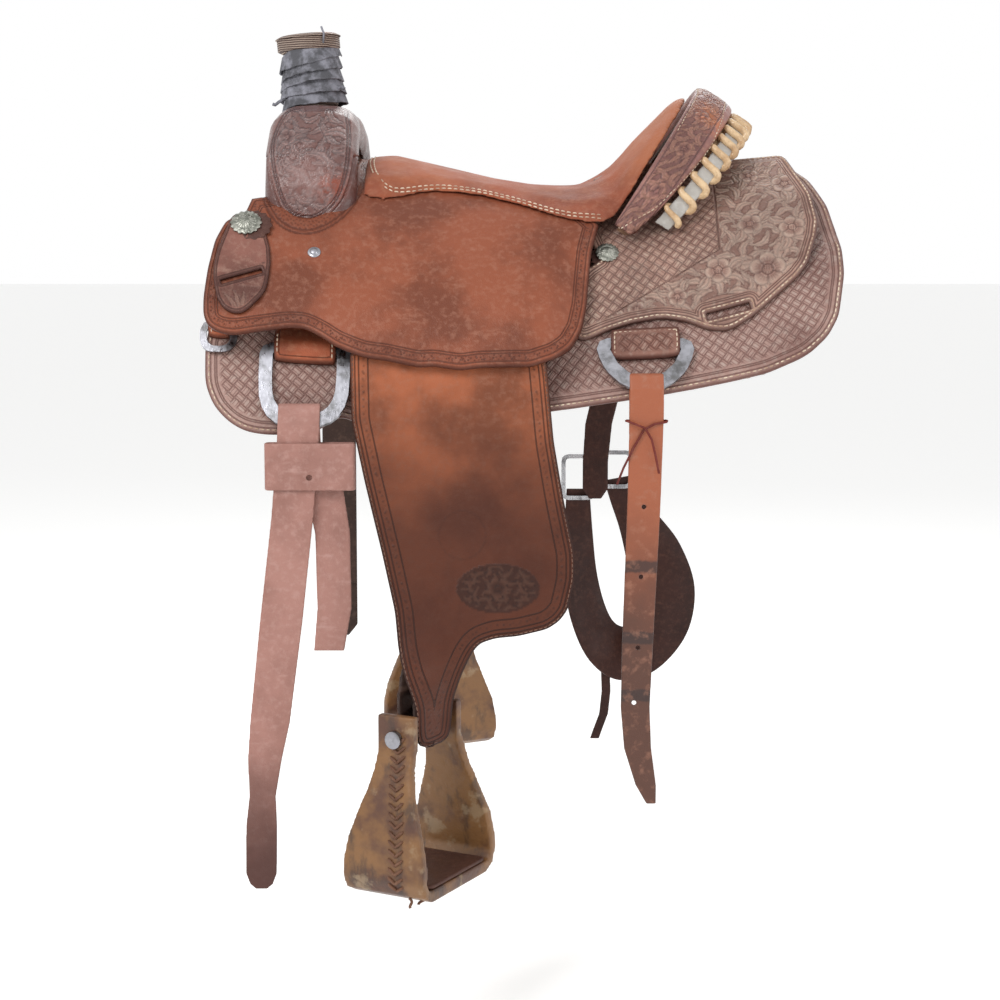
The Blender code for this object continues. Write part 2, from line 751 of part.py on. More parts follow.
LACE_STEPS = 10
LACE_SQUARE = 0.5
lace_points = []
for i in range(LACE_TURNS * LACE_STEPS + 1):
    turn = i / LACE_STEPS
    u = math.radians(-(CORE_END_ANGLE - 3) + 2 * (CORE_END_ANGLE - 3) * turn / LACE_TURNS)
    m, n = core_middle(u)
    a = 2 * math.pi * turn
    reach = CORE_WIDTH / 2 + LACE_R + 0.0012
    rise = CORE_THICK / 2 + LACE_R + 0.0010
    c, s = math.cos(a), math.sin(a)
    lace_points.append(rim_point(u, m + math.copysign(abs(c) ** LACE_SQUARE, c) * reach,
                                 n + math.copysign(abs(s) ** LACE_SQUARE, s) * rise))
tube("rawhide_lacing", lace_points, LACE_R, RAWHIDE, 0.6, 0.0, 1)
least = min((lace_points[i] - lace_points[j]).length for i in range(len(lace_points))
            for j in range(i + 4, len(lace_points))) - 2 * LACE_R
print(f"rawhide lacing: least gap to itself {least * 1000:.2f} mm")
least = min((wrap_points[i] - wrap_points[j]).length for i in range(len(wrap_points))
            for j in range(i + WRAP_STEPS // 2, len(wrap_points))) - 2 * WRAP_BAND
print(f"horn wrap: least gap to itself {least * 1000:.2f} mm")


# Seat: cross sections from the middle line to the stitched edge, up into the cantle's dish
def tuck(degrees):
    """Where the seat leather ends under the roll."""
    return rim_point(math.radians(-degrees), -0.0004, -SEAT_TUCK - 0.0006)


SEAT_SECTIONS = [(-0.184, 0.123, -0.182, 0.112), (-0.150, 0.1207, -0.158, 0.119),
                 (-0.091, 0.107, -0.100, 0.102), (-0.038, 0.0945, -0.052, 0.107),
                 (0.006, 0.0876, -0.010, 0.122), (0.046, 0.0865, 0.036, 0.141),
                 (0.068, 0.0900, 0.068, 0.149)]
SEAT_DISH = [(0.103, 0.1105, 84), (0.130, 0.140, 66), (0.152, 0.162, 47), (0.170, 0.180, 28),
             (0.1845, 0.1935, 10)]
SEAT_STATIONS = []
for number, (xc, zc, xe, se) in enumerate(SEAT_SECTIONS):
    edge = form(xe, se, SEAT_LIFT)
    SEAT_STATIONS.append((number, xc, zc, edge.x, -edge.y, edge.z, 3.0))
for number, (xc, zc, degrees) in enumerate(SEAT_DISH, len(SEAT_SECTIONS)):
    edge = tuck(degrees)
    SEAT_STATIONS.append((number, xc, zc, edge.x, -edge.y, edge.z, 2.4))
LAST = len(SEAT_STATIONS) - 1


def seat_point(t, q, side=NEAR):
    """The seat leather's face: t runs front to back, q from the middle line to the edge."""
    xc, zc, xe, ye, ze, power = table(SEAT_STATIONS, t)
    return Vector((xc + (xe - xc) * q * q, side * ye * q, zc + (ze - zc) * q ** power))


def station_of(x):
    """The seat station whose edge lies at x; it runs on in front of the seat."""
    if x < SEAT_SECTIONS[0][2]:
        return (x - SEAT_SECTIONS[0][2]) / 0.03
    low, high = 0.0, float(len(SEAT_SECTIONS) - 1)
    for _ in range(30):
        middle = (low + high) / 2
        if table(SEAT_STATIONS, middle)[2] < x:
            low = middle
        else:
            high = middle
    return low


def x_of(t):
    if t < 0:
        return SEAT_SECTIONS[0][2] + 0.03 * t
    return table(SEAT_STATIONS, t)[2]


EDGE_S = [(i, row[3]) for i, row in enumerate(SEAT_SECTIONS)]


def edge_s(t):
    return table(EDGE_S, min(max(t, 0.0), len(SEAT_SECTIONS) - 1.0))


JOCKEY_DROP = (0.024, 0.058)
REAR_JOCKEY_LIFT = BAR_TOP + 2 * GAP
REAR_JOCKEY_FACE = REAR_JOCKEY_LIFT + REAR_JOCKEY


def jockey_lift(x, s):
    """The seat jockey's face: out over the fender, down onto the rear jockey behind it."""
    over_fender = (JOCKEY_EDGE_LIFT - SEAT_LIFT) * ramp(s, GRID_S[6], GRID_S[8])
    behind = ramp(x, JOCKEY_DROP[0], JOCKEY_DROP[1]) * ramp(s, GRID_S[5], GRID_S[7])
    low = REAR_JOCKEY_FACE + 0.0012 + JOCKEY
    return (SEAT_LIFT + over_fender) * (1 - behind) + low * behind


def side_place(x, s):
    t = station_of(x)
    return t, 1.0 + 10 * (s - edge_s(t))


JOCKEY_SIDE = [(0.0645, 0.2107), (0.0618, 0.2384), (0.056, 0.2646), (0.0453, 0.2847), (0.0274, 0.299),
               (0.0012, 0.3077), (-0.0716, 0.3107), (-0.113, 0.3086), (-0.155, 0.302),
               (-0.1865, 0.2965), (-0.202, 0.2913), (-0.218, 0.2822), (-0.234, 0.2755), (-0.25, 0.2755),
               (-0.279, 0.281), (-0.3067, 0.2876), (-0.3223, 0.2869), (-0.3351, 0.281),
               (-0.340, 0.271), (-0.341, 0.2527), (-0.339, 0.220), (-0.3345, 0.1845), (-0.325, 0.158),
               (-0.306, 0.148), (-0.285, 0.148), (-0.20, 0.148), (-0.1835, 0.146)]
SEAT_END = len(SEAT_SECTIONS) - 1.0
half_outline = [(float(i), 1.0) for i in range(LAST, int(SEAT_END), -1)]
half_outline += [(SEAT_END + 0.3, 1.0), (SEAT_END, 1.30)]
half_outline += [side_place(x, s) for x, s in JOCKEY_SIDE]
half_outline += [(0.0, 1.0)]
jockey_outline = half_outline + [(at, -r) for at, r in reversed(half_outline)]
SEAT_Q = (0.27, 0.54, 0.80, 0.93)
SEAT_T = [0.5, 1, 2, 3, 4, 5, 6, 6.5, 7, 7.5, 8, 8.5, 9, 10, 10.5]
JOCKEY_ROWS = SEAT_Q + (1.0, 1.35, 1.8, 2.3)
front_columns = [station_of(x) for x in (-0.32, GRID_X[1], -0.23)]
SEAT_CUTS = SEAT_T + [station_of(x) for x in (JOCKEY_DROP[0], 0.041, 0.05, JOCKEY_DROP[1])]


def seat_normal(at, q, side):
    d = 0.01
    along = seat_point(min(at + d, LAST), q, side) - seat_point(max(at - d, 0), q, side)
    across = seat_point(at, min(q + d, 1), side) - seat_point(at, max(q - d, 0), side)
    if side == NEAR:
        across = -across
    return along.cross(across).normalized()


def seat_place(at, r, lift):
    """A point of the seat leather, lifted off its face, and of the jockey below its edge.

    r is 0 at the middle line, 1 at the stitched edge, and runs on down the side in tenths of metres;
    it is negative on the near side."""
    side = NEAR if r < 0 else 1
    reach = abs(r)
    if reach <= 1.0:
        at = max(at, 0.0)
        return seat_point(at, reach, side) + seat_normal(at, reach, side) * lift
    x = x_of(at)
    s = edge_s(at) + (reach - 1.0) / 10
    return form(x, s, jockey_lift(x, s) + lift, side)


def both_sides(values):
    return [-v for v in reversed(values)] + [0.0] + list(values)


jockey_pattern = pattern(jockey_outline, both_sides(JOCKEY_ROWS), front_columns + SEAT_CUTS)
thicken("seat_jockey", jockey_pattern, lambda at, r: seat_place(at, r, -JOCKEY),
        lambda at, r: seat_place(at, r, 0.0), ROUGHOUT, 0.7)

PAD_FROM = 0.12
PAD_TO = 11.0
PAD_CLEAR = 0.0006
PAD_REACH = 0.995
pad_outline = [(PAD_FROM, -PAD_REACH), (PAD_TO, -PAD_REACH), (PAD_TO, PAD_REACH), (PAD_FROM, PAD_REACH)]
pad_columns = [at for at in SEAT_CUTS if PAD_FROM < at < PAD_TO]


def pad_lift(at, q):
    """Crowned over the middle, drawn in along the stitched edge."""
    side = 1 - smooth_step((abs(q) - 0.72) / 0.28)
    ends = smooth_step((at - PAD_FROM) / 0.8) * smooth_step((PAD_TO - at) / 0.7)
    return PAD_CLEAR + PAD_EDGE + PAD_CROWN * side * ends


thicken("padded_seat", pattern(pad_outline, both_sides(SEAT_Q), pad_columns),
        lambda at, q: seat_place(at, q, PAD_CLEAR), lambda at, q: seat_place(at, q, pad_lift(at, q)),
        ROUGHOUT, 0.8)

GROUND_FROM = 0.5
GROUND_TO = 8.0
GROUND_Q = 0.54
GROUND_TAIL_Q = 0.27
ground_half = [(GROUND_TO, GROUND_TAIL_Q), (5.0, GROUND_TAIL_Q), (4.0, GROUND_Q), (GROUND_FROM, GROUND_Q)]
ground_outline = [(at, -q) for at, q in reversed(ground_half)] + ground_half
ground_top = -JOCKEY - PAD_CLEAR
thicken("ground_seat", pattern(ground_outline, (-SEAT_Q[0], 0.0, SEAT_Q[0]),
                               [at for at in SEAT_CUTS if GROUND_FROM < at < GROUND_TO]),
        lambda at, q: seat_place(at, q, ground_top - GROUND_SEAT),
        lambda at, q: seat_place(at, q, ground_top), TAN, 0.7)

# Rear jockey: a wrapped panel with its strap slot
REAR_JOCKEY_OUTLINE = round_corners([
    (0.291, 0.0255), (0.302, 0.066), (0.3135, 0.103), (0.317, 0.144, 0.02), (0.310, 0.180, 0.02),
    (0.2957, 0.2064), (0.250, 0.244), (0.2296, 0.2595, 0.01), (0.210, 0.2667, 0.01),
    (0.189, 0.2623, 0.012), (0.158, 0.248, 0.012), (0.1347, 0.2477, 0.02), (0.110, 0.2515),
    (0.085, 0.2590), (0.058, 0.2698, 0.01), (0.046, 0.262, 0.01), (0.046, 0.205), (0.070, 0.180),
    (0.110, 0.166), (0.150, 0.164), (0.205, 0.163), (0.218, 0.150, 0.02), (0.218, 0.060, 0.02),
    (0.228, 0.0255)], 0.008, 2)
REAR_SLOT = (0.2135, 0.2445, 0.0235, 0.004, math.radians(-11))


def rear_jockey_lift(x, s):
    """Over the bars' tips, then down onto the skirt."""
    down = ramp(s, BAR_FREE, GRID_S[7])
    return REAR_JOCKEY_LIFT * (1 - down) + (on_skirt(x, s) + GAP) * down


thick_panel("rear_jockey_near", REAR_JOCKEY_OUTLINE, rear_jockey_lift, REAR_JOCKEY, BROWN, 0.55,
            slots=(REAR_SLOT,))

# Rigging leathers: plates sewn on the skirt, each with a loop raised over its dee's top bar
def loop_leather(name, dee, bar, top_bar, above, colour):
    """The leather that holds a dee: sewn flat above and below its top bar, raised over it."""
    x, s, width, _ = dee
    half = width / 2 - bar - 0.0015
    low = s + LOOP_REACH + LOOP_FALL + 0.002
    clear = top_bar / 2 * LOOP_ROOM + DEE_CLEAR

    def lift(x, at):
        over = 1 - smooth_step((abs(at - s) - LOOP_REACH) / LOOP_FALL)
        return on_skirt(x, at) + 2 * clear * over

    outline = [(x - half, s - above), (x + half, s - above), (x + half, low), (x - half, low)]
    rows = [s + (LOOP_REACH + LOOP_FALL * k / 3) * sign for k in range(4) for sign in (-1, 1)]
    return thick_panel(name, round_corners(outline, 0.005, 2), lift, RIGGING_LEATHER, colour, 0.55, rows)


def dee_arc(width, height, top_bar, edge):
    """Half width, depth and middle of a dee's lower curve, drawn in by an edge."""
    return width / 2 - edge, height * 0.6 - edge, height - top_bar / 2 - height * 0.6


def dee_outline(width, height, bar, top_bar):
    """A flat dee: straight bar at the top, round below; its middle line of the top bar is y 0."""
    outlines = []
    for edge, top in ((0.0, -top_bar / 2), (bar, top_bar / 2)):
        a, b, middle = dee_arc(width, height, top_bar, edge)
        points = []
        for k in range(13):
            angle = math.radians(k * 15)
            c, s = math.cos(angle), math.sin(angle)
            points.append((a * math.copysign(abs(c) ** DEE_SQUARE, c), middle + b * abs(s) ** DEE_SQUARE))
        corner = 0.012 - edge * 0.5
        points += [(-a, top + corner), (-a + corner * 0.3, top + corner * 0.3), (-a + corner, top),
                   (a - corner, top), (a - corner * 0.3, top + corner * 0.3), (a, top + corner)]
        outlines.append(points)
    return outlines


def dee_frame(dee, top_bar):
    """A dee's place and axes: its hinge, the direction it hangs in, and outward."""
    x, s, _, _ = dee
    hinge = form(x, s, on_skirt(x, s) + top_bar / 2 * LOOP_ROOM + DEE_CLEAR)
    down = form_down(s)
    out = down.cross(Vector((1, 0, 0)))
    return hinge, down, out


def dee_ring(name, dee, bar, top_bar, thick):
    hinge, down, _ = dee_frame(dee, top_bar)
    return plate(name, dee_outline(dee[2], dee[3], bar, top_bar), thick,
                 frame_at(hinge, Vector((1, 0, 0)), down), STEEL, 0.3, 1.0)


loop_leather("front_rigging_near", FRONT_DEE, DEE_BAR, DEE_TOP_BAR, 0.030, ORANGE)
loop_leather("rear_rigging_near", REAR_DEE, DEE_BAR, DEE_TOP_BAR, 0.0140, BROWN)
loop_leather("breast_tab_near", BREAST_DEE, BREAST_BAR, BREAST_TOP_BAR, 0.022, TAN)
dee_ring("front_dee_near", FRONT_DEE, DEE_BAR, DEE_TOP_BAR, DEE_THICK)
dee_ring("rear_dee_near", REAR_DEE, DEE_BAR, DEE_TOP_BAR, DEE_THICK)
dee_ring("breast_dee_near", BREAST_DEE, BREAST_BAR, BREAST_TOP_BAR, BREAST_THICK)

# Latigo carrier, conchos and screws, on the jockeys
CARRIER_OUTLINE = round_corners([
    (-0.318, 0.150), (-0.288, 0.150), (-0.2724, 0.200), (-0.2752, 0.2425), (-0.299, 0.2695),
    (-0.320, 0.266), (-0.331, 0.244), (-0.3325, 0.210)], 0.010, 2)
CARRIER_SLOT = (-0.3025, 0.228, 0.0225, 0.0026, math.radians(-22))


def on_jockey(x, s):
    return jockey_lift(x, s) + GAP


thick_panel("latigo_carrier_near", CARRIER_OUTLINE, on_jockey, CARRIER, TAN, 0.6, slots=(CARRIER_SLOT,))


def concho(name, x, s, h, radius, colour):
    """A domed disc with a stepped rim, lying on a leather."""
    place = form(x, s, h + GAP)
    near_by = 0.008
    along = form(x + near_by, s, h) - form(x - near_by, s, h)
    out = along.cross(form(x, s + near_by, h) - form(x, s - near_by, h)).normalized()
    if out.z < 0:
        out = -out
    turned(name, [(0, radius * 0.34), (radius * 0.35, radius * 0.30), (radius * 0.62, radius * 0.17),
                  (radius * 0.70, radius * 0.19), (radius, radius * 0.09), (radius, 0), (0, 0)],
           frame_at(place, along, out.cross(along)), colour, 0.35, 1.0, 16)


FRONT_CONCHO = (-0.3026, 0.1640, 0.0165)
REAR_CONCHO = (0.086, 0.1690, 0.0125)
concho("front_concho_near", *FRONT_CONCHO[:2], on_jockey(*FRONT_CONCHO[:2]) + CARRIER + 0.0006,
       FRONT_CONCHO[2], STEEL)
concho("rear_concho_near", *REAR_CONCHO[:2], REAR_JOCKEY_FACE + 0.0006,
       REAR_CONCHO[2], STEEL)


# The hanging side: stirrup leather and fender follow one profile down to the stirrup's bolt
def hang_lift(s):
    """The lift of the fender's inner face under the jockey."""
    top = on_skirt(LEATHER_X, LEATHER_TOP) + BAR_CROWN + BAR + 5 * GAP + STIRRUP_LEATHER
    return top + (DROP_LIFT - top) * smooth_step((s - HANG_FROM) / (DROP_S - HANG_FROM))


def hang_profile(d):
    """The place in the middle plane of the drop, d below the jockey's edge, negative above it."""
    if d <= 0:
        above, below, share = between(HANG_ROWS, d)
        places = [form(LEATHER_X, DROP_S + row, hang_lift(DROP_S + row)) for row in (above, below)]
        return places[0].lerp(places[1], share)
    edge = form(LEATHER_X, DROP_S, DROP_LIFT)
    flare = math.radians(FLARE)
    return edge + Vector((0, -math.sin(flare), -math.cos(flare))) * d


HANG_ROWS = [LEATHER_TOP - DROP_S, -0.150, -0.120, -0.095, -0.07, -0.045, -0.02, 0.0]


def hang(x, d, out=0.0):
    """A point of the fender or stirrup leather, with the turn that faces the stirrup forward."""
    here = hang_profile(d)
    slope = hang_profile(d + 0.002) - hang_profile(d - 0.002)
    normal = Vector((0, slope.z, -slope.y)).normalized()
    if normal.y > 0:
        normal = -normal
    twisted = smooth_step((d - TWIST_FROM) / (TWIST_TO - TWIST_FROM))
    turn = Matrix.Rotation(math.radians(TWIST) * twisted, 3, "Z")
    middle = LEATHER_X + (BOLT_X - LEATHER_X) * min(1.0, max(0.0, d / BOLT_DROP))
    return Vector((middle, here.y, here.z)) + turn @ Vector((x - middle, 0, 0)) + turn @ normal * out


FENDER_OUTLINE = round_corners([
    (-0.187, 0.0), (-0.185, 0.071), (-0.171, 0.135), (-0.153, 0.208), (-0.139, 0.270),
    (BOLT_X - TONGUE_HALF, 0.320), (BOLT_X - TONGUE_HALF, 0.408, 0.02), (BOLT_X + TONGUE_HALF, 0.408, 0.02),
    (BOLT_X + TONGUE_HALF, 0.330), (-0.055, 0.306), (-0.042, 0.298, 0.01), (0.004, 0.294, 0.02),
    (0.033, 0.282, 0.02), (0.0475, 0.253, 0.02), (0.0475, 0.210), (0.036, 0.153), (0.026, 0.093),
    (0.019, 0.015), (0.016, -0.004), (-0.015, -0.040, 0.03), (-0.040, -0.085, 0.02), (-0.043, -0.118),
    (-0.107, -0.118), (-0.110, -0.085, 0.02), (-0.145, -0.040, 0.03), (-0.183, -0.004)], 0.008, 2)
fender_pattern = pattern(FENDER_OUTLINE, HANG_ROWS[3:] + [0.29, 0.305, 0.32, 0.335, 0.35, 0.365, 0.38])
thicken("fender_near", fender_pattern, lambda x, d: hang(x, d), lambda x, d: hang(x, d, FENDER), RUSSET, 0.5)

bolt_place = hang(BOLT_X, BOLT_DROP, -BOLT_SET)
bolt_turn = math.radians(TWIST)
bolt_axis = Vector((math.cos(bolt_turn), math.sin(bolt_turn), 0))
stirrup_ahead = Vector((math.sin(bolt_turn), -math.cos(bolt_turn), 0))
loop_r = SLEEVE_R + 0.0004 + STIRRUP_LEATHER / 2
middle_out = -GAP - STIRRUP_LEATHER / 2


def leather_station(d, out, half):
    middle = LEATHER_X + (BOLT_X - LEATHER_X) * min(1.0, max(0.0, d / BOLT_DROP))
    centre = hang(middle, d, out)
    return centre, (hang(middle + half, d, out) - centre)


leather_stations = []
for d in HANG_ROWS:
    leather_stations.append(leather_station(d, middle_out, LEATHER_HALF))
inner_out = -BOLT_SET - loop_r
for d, share in ((0.10, 0), (0.20, 0), (0.25, 0), (0.27, 0.12), (0.29, 0.35), (0.31, 0.65),
                 (0.33, 0.88), (0.35, 1), (0.37, 1)):
    leather_stations.append(leather_station(d, middle_out + (inner_out - middle_out) * share, 0.030))
for k in range(7):
    a = math.pi * k / 6
    centre = bolt_place + stirrup_ahead * (-loop_r * math.cos(a)) + Vector((0, 0, -loop_r * math.sin(a)))
    leather_stations.append((centre, bolt_axis * 0.030))
for d in (BOLT_DROP - 0.016, BOLT_DROP - 0.032):
    leather_stations.append(leather_station(d, loop_r - BOLT_SET - 5 * GAP, 0.030))
ribbon("stirrup_leather_near", leather_stations, STIRRUP_LEATHER, DARK, 0.6)

# Stirrup: bent wood, its branches deepening to the tread
INNER_HALF = [(0.150, STIRRUP_WIDTH / 2 - 0.006), (0.140, STIRRUP_WIDTH / 2),
              (0.100, STIRRUP_WIDTH / 2 - 0.003),
              (0.060, 0.056), (0.030, 0.046), (0.012, STIRRUP_NECK / 2),
              (-STIRRUP_OVER_BOLT, STIRRUP_NECK / 2)]
stirrup_low = STIRRUP_HEIGHT - STIRRUP_OVER_BOLT
tread_z = stirrup_low - STIRRUP_WALL - 0.002


def stirrup_depth(z):
    below = smooth_step((-z - 0.02) / 0.11)
    return STIRRUP_DEPTH_TOP + (STIRRUP_DEPTH_LOW - STIRRUP_DEPTH_TOP) * below


right = [(half, -down) for down, half in INNER_HALF[1:]]
inner = [(-STIRRUP_WIDTH / 2 + 0.006, -tread_z), (STIRRUP_WIDTH / 2 - 0.006, -tread_z)] + right
outer = [(half + STIRRUP_WALL, z) for half, z in reversed(right)]
outer += [(STIRRUP_WIDTH / 2 + 0.004, -stirrup_low + 0.008), (STIRRUP_WIDTH / 2 - 0.012, -stirrup_low)]
outline = inner + outer + [(-w, z) for w, z in reversed(outer)] + [(-w, z) for w, z in reversed(right)]
stirrup_pattern = pattern(outline, [-0.02, -0.05, -0.075, -0.10, -0.125])
bottom = stirrup_pattern.verts[:]
raised = bmesh.ops.extrude_face_region(stirrup_pattern, geom=stirrup_pattern.faces[:])
top = [v for v in raised["geom"] if isinstance(v, bmesh.types.BMVert)]
stirrup_axes = Matrix((bolt_axis, Vector((0, 0, 1)), stirrup_ahead)).transposed()
for group, sign in ((bottom, -0.5), (top, 0.5)):
    for v in group:
        w, z = v.co.x, v.co.y
        v.co = stirrup_axes @ Vector((w, z, sign * stirrup_depth(z)))
bmesh.ops.recalc_face_normals(stirrup_pattern, faces=stirrup_pattern.faces[:])
stirrup_mesh = bpy.data.meshes.new("stirrup_near")
stirrup_pattern.to_mesh(stirrup_mesh)
stirrup_pattern.free()
stirrup = add("stirrup_near", stirrup_mesh, RAWHIDE, 0.6)
stirrup.location = bolt_place
bolt_frame = frame_at(bolt_place, stirrup_ahead, bolt_axis.cross(stirrup_ahead))
bore = turned("stirrup_bore", [(0, 0.08), (BOLT_R + GAP, 0.08), (BOLT_R + GAP, -0.08), (0, -0.08)],
              bolt_frame, STEEL, count=16)
subtract(stirrup, bore)
neck_outer = STIRRUP_NECK / 2 + STIRRUP_WALL + 0.0004
sleeve_half = STIRRUP_NECK / 2 - 0.002
HEAD_R = 0.009
HEAD = 0.005
turned("stirrup_bolt_near", [(0, neck_outer + HEAD), (HEAD_R * 0.8, neck_outer + HEAD),
                             (HEAD_R, neck_outer + HEAD * 0.6), (HEAD_R, neck_outer), (BOLT_R, neck_outer),
                             (BOLT_R, sleeve_half), (SLEEVE_R, sleeve_half), (SLEEVE_R, -sleeve_half),
                             (BOLT_R, -sleeve_half), (BOLT_R, -neck_outer), (HEAD_R, -neck_outer),
                             (HEAD_R, -neck_outer - HEAD), (0, -neck_outer - HEAD)],
       bolt_frame, STEEL, 0.35, 1.0, 16)
tread_half = STIRRUP_WIDTH / 2 - 0.009
plate("stirrup_tread_near", [round_corners([
    (-tread_half, -0.046), (tread_half, -0.046), (tread_half, 0.046), (-tread_half, 0.046)], 0.008, 3)],
    TREAD, frame_at(bolt_place + Vector((0, 0, -tread_z + GAP + TREAD / 2)), bolt_axis, -stirrup_ahead),
    DARK, 0.75)


# Straps on the dees: each passes over the bottom bar, from behind to the front
STRAP_CLEAR = 0.0009


def over_bar(dee, top_bar, thick, half, x):
    """The strap's middle line round a dee's bottom bar at x, from behind to the front."""
    hinge, down, out = dee_frame(dee, top_bar)
    a, b, middle = dee_arc(dee[2], dee[3], top_bar, DEE_BAR)
    across = min(0.98, (abs(x - dee[0]) + half) / a)
    power = 2 / DEE_SQUARE
    inner_edge = middle + b * (1 - across ** power) ** (1 / power)
    lowest = dee[3] - top_bar / 2
    top = inner_edge - DEE_CLEAR - thick / 2
    reach = DEE_THICK / 2 + DEE_CLEAR + thick / 2
    here = Vector((x, hinge.y, hinge.z))
    places = [(-reach, lowest), (-reach, top + thick * 0.6), (-reach * 0.75, top), (0, top - thick * 0.2),
              (reach * 0.75, top), (reach, top + thick * 0.6), (reach, lowest)]
    return [here + down * fall + out * lift for lift, fall in places]


def strap_over_bar(name, dee, top_bar, thick, half, x, back_run, front_run, colour, roughness=0.6):
    """back_run and front_run list (x, how far below the bar, half width) down each hanging part."""
    points = over_bar(dee, top_bar, thick, half, x)
    stations = [(p, Vector((half, 0, 0))) for p in points]
    back = [(Vector((bx, points[0].y - STRAP_CLEAR, points[0].z - fall)), Vector((bh, 0, 0)))
            for bx, fall, bh in back_run]
    front = [(Vector((fx, points[-1].y - STRAP_CLEAR, points[-1].z - fall)), Vector((fh, 0, 0)))
             for fx, fall, fh in front_run]
    return ribbon(name, back[::-1] + stations + front, thick, colour, roughness)


LATIGO_X = -0.240
LATIGO_HALF = 0.022
strap_over_bar("latigo_near", FRONT_DEE, DEE_TOP_BAR, STRAP, LATIGO_HALF, LATIGO_X,
               [(-0.238, 0.020, 0.021), (-0.214, 0.065, 0.020), (-0.206, 0.110, 0.0185),
                (-0.205, 0.190, 0.018),
                (-0.211, 0.235, 0.016)],
               [(-0.241, 0.020, 0.022), (-0.2475, 0.095, 0.022), (-0.2605, 0.205, 0.0225),
                (-0.274, 0.315, 0.021), (-0.280, 0.355, 0.018), (-0.283, 0.395, 0.0140),
                (-0.2845, 0.428, 0.0165), (-0.2855, 0.480, 0.0165), (-0.2855, 0.492, 0.012),
                (-0.2855, 0.497, 0.006)], LATIGO, 0.8)
strap_over_bar("off_billet", FRONT_DEE, DEE_TOP_BAR, STRAP, LATIGO_HALF, LATIGO_X,
               [(LATIGO_X, 0.03, 0.022), (LATIGO_X, 0.25, 0.022)],
               [(LATIGO_X, 0.03, 0.022), (LATIGO_X, 0.31, 0.022), (LATIGO_X, 0.325, 0.010)], DARK, 0.7)
BILLET_THICK = 0.0035
BILLET_HALF = BILLET_WIDTH / 2
FLANK_X = REAR_DEE[0]
OFF_FLANK_X = 0.112
strap_over_bar("flank_billet_near", REAR_DEE, DEE_TOP_BAR, BILLET_THICK, BILLET_HALF, FLANK_X,
               [(FLANK_X, 0.012, 0.018), (FLANK_X, 0.045, 0.018)],
               [(FLANK_X, 0.03, 0.018), (0.122, 0.12, 0.0175), (0.1165, 0.27, 0.0165), (0.1145, 0.34, 0.0155),
                (0.1175, 0.385, 0.0145), (0.1265, 0.425, 0.011), (0.1325, 0.446, 0.005)], BROWN, 0.6)
strap_over_bar("flank_billet_off", REAR_DEE, DEE_TOP_BAR, BILLET_THICK, BILLET_HALF, OFF_FLANK_X,
               [(OFF_FLANK_X, 0.012, 0.018), (OFF_FLANK_X, 0.045, 0.018)],
               [(0.110, 0.03, 0.018), (0.098, 0.08, 0.0175), (0.094, 0.130, 0.0165), (0.094, 0.165, 0.0165),
                (0.094, 0.178, 0.008)], BROWN, 0.6)


def mirror_in_place(name):
    """Carry a strap modelled on the near side's numbers over to the off side."""
    obj = bpy.data.objects[name]
    obj.data.transform(Matrix.Diagonal((1, -1, 1, 1)))
    obj.data.flip_normals()


mirror_in_place("off_billet")
mirror_in_place("flank_billet_off")


def strap_planes(dee, thick, half, x):
    """Y of the back and the front strand of a strap that hangs from a dee, and the bar's lowest Z."""
    points = over_bar(dee, DEE_TOP_BAR, thick, half, x)
    return points[0].y - STRAP_CLEAR, points[-1].y - STRAP_CLEAR, points[-1].z


def ring_outline(x_low, x_high, y_low, y_high, radius):
    return round_corners([(x_low, y_low), (x_high, y_low), (x_high, y_high), (x_low, y_high)], radius, 2)


# The latigo's last turn, drawn flat round its own two strands
WRAP_HEIGHT = 0.050
WRAP_FALL = 0.042
back_y, front_y, latigo_z = strap_planes(FRONT_DEE, STRAP, LATIGO_HALF, LATIGO_X)
wrap_x = (-0.2730, -0.1840)
wrap_y = (front_y - STRAP / 2 - 2 * GAP, back_y + STRAP / 2 + 2 * GAP)
wrap_outer = ring_outline(wrap_x[0] - STRAP, wrap_x[1] + STRAP, wrap_y[0] - STRAP, wrap_y[1] + STRAP, 0.006)
plate("latigo_wrap", [wrap_outer,
                      ring_outline(*wrap_x, *wrap_y, 0.003)], WRAP_HEIGHT,
      Matrix.Translation((0, 0, latigo_z - WRAP_FALL)), LATIGO, 0.8)

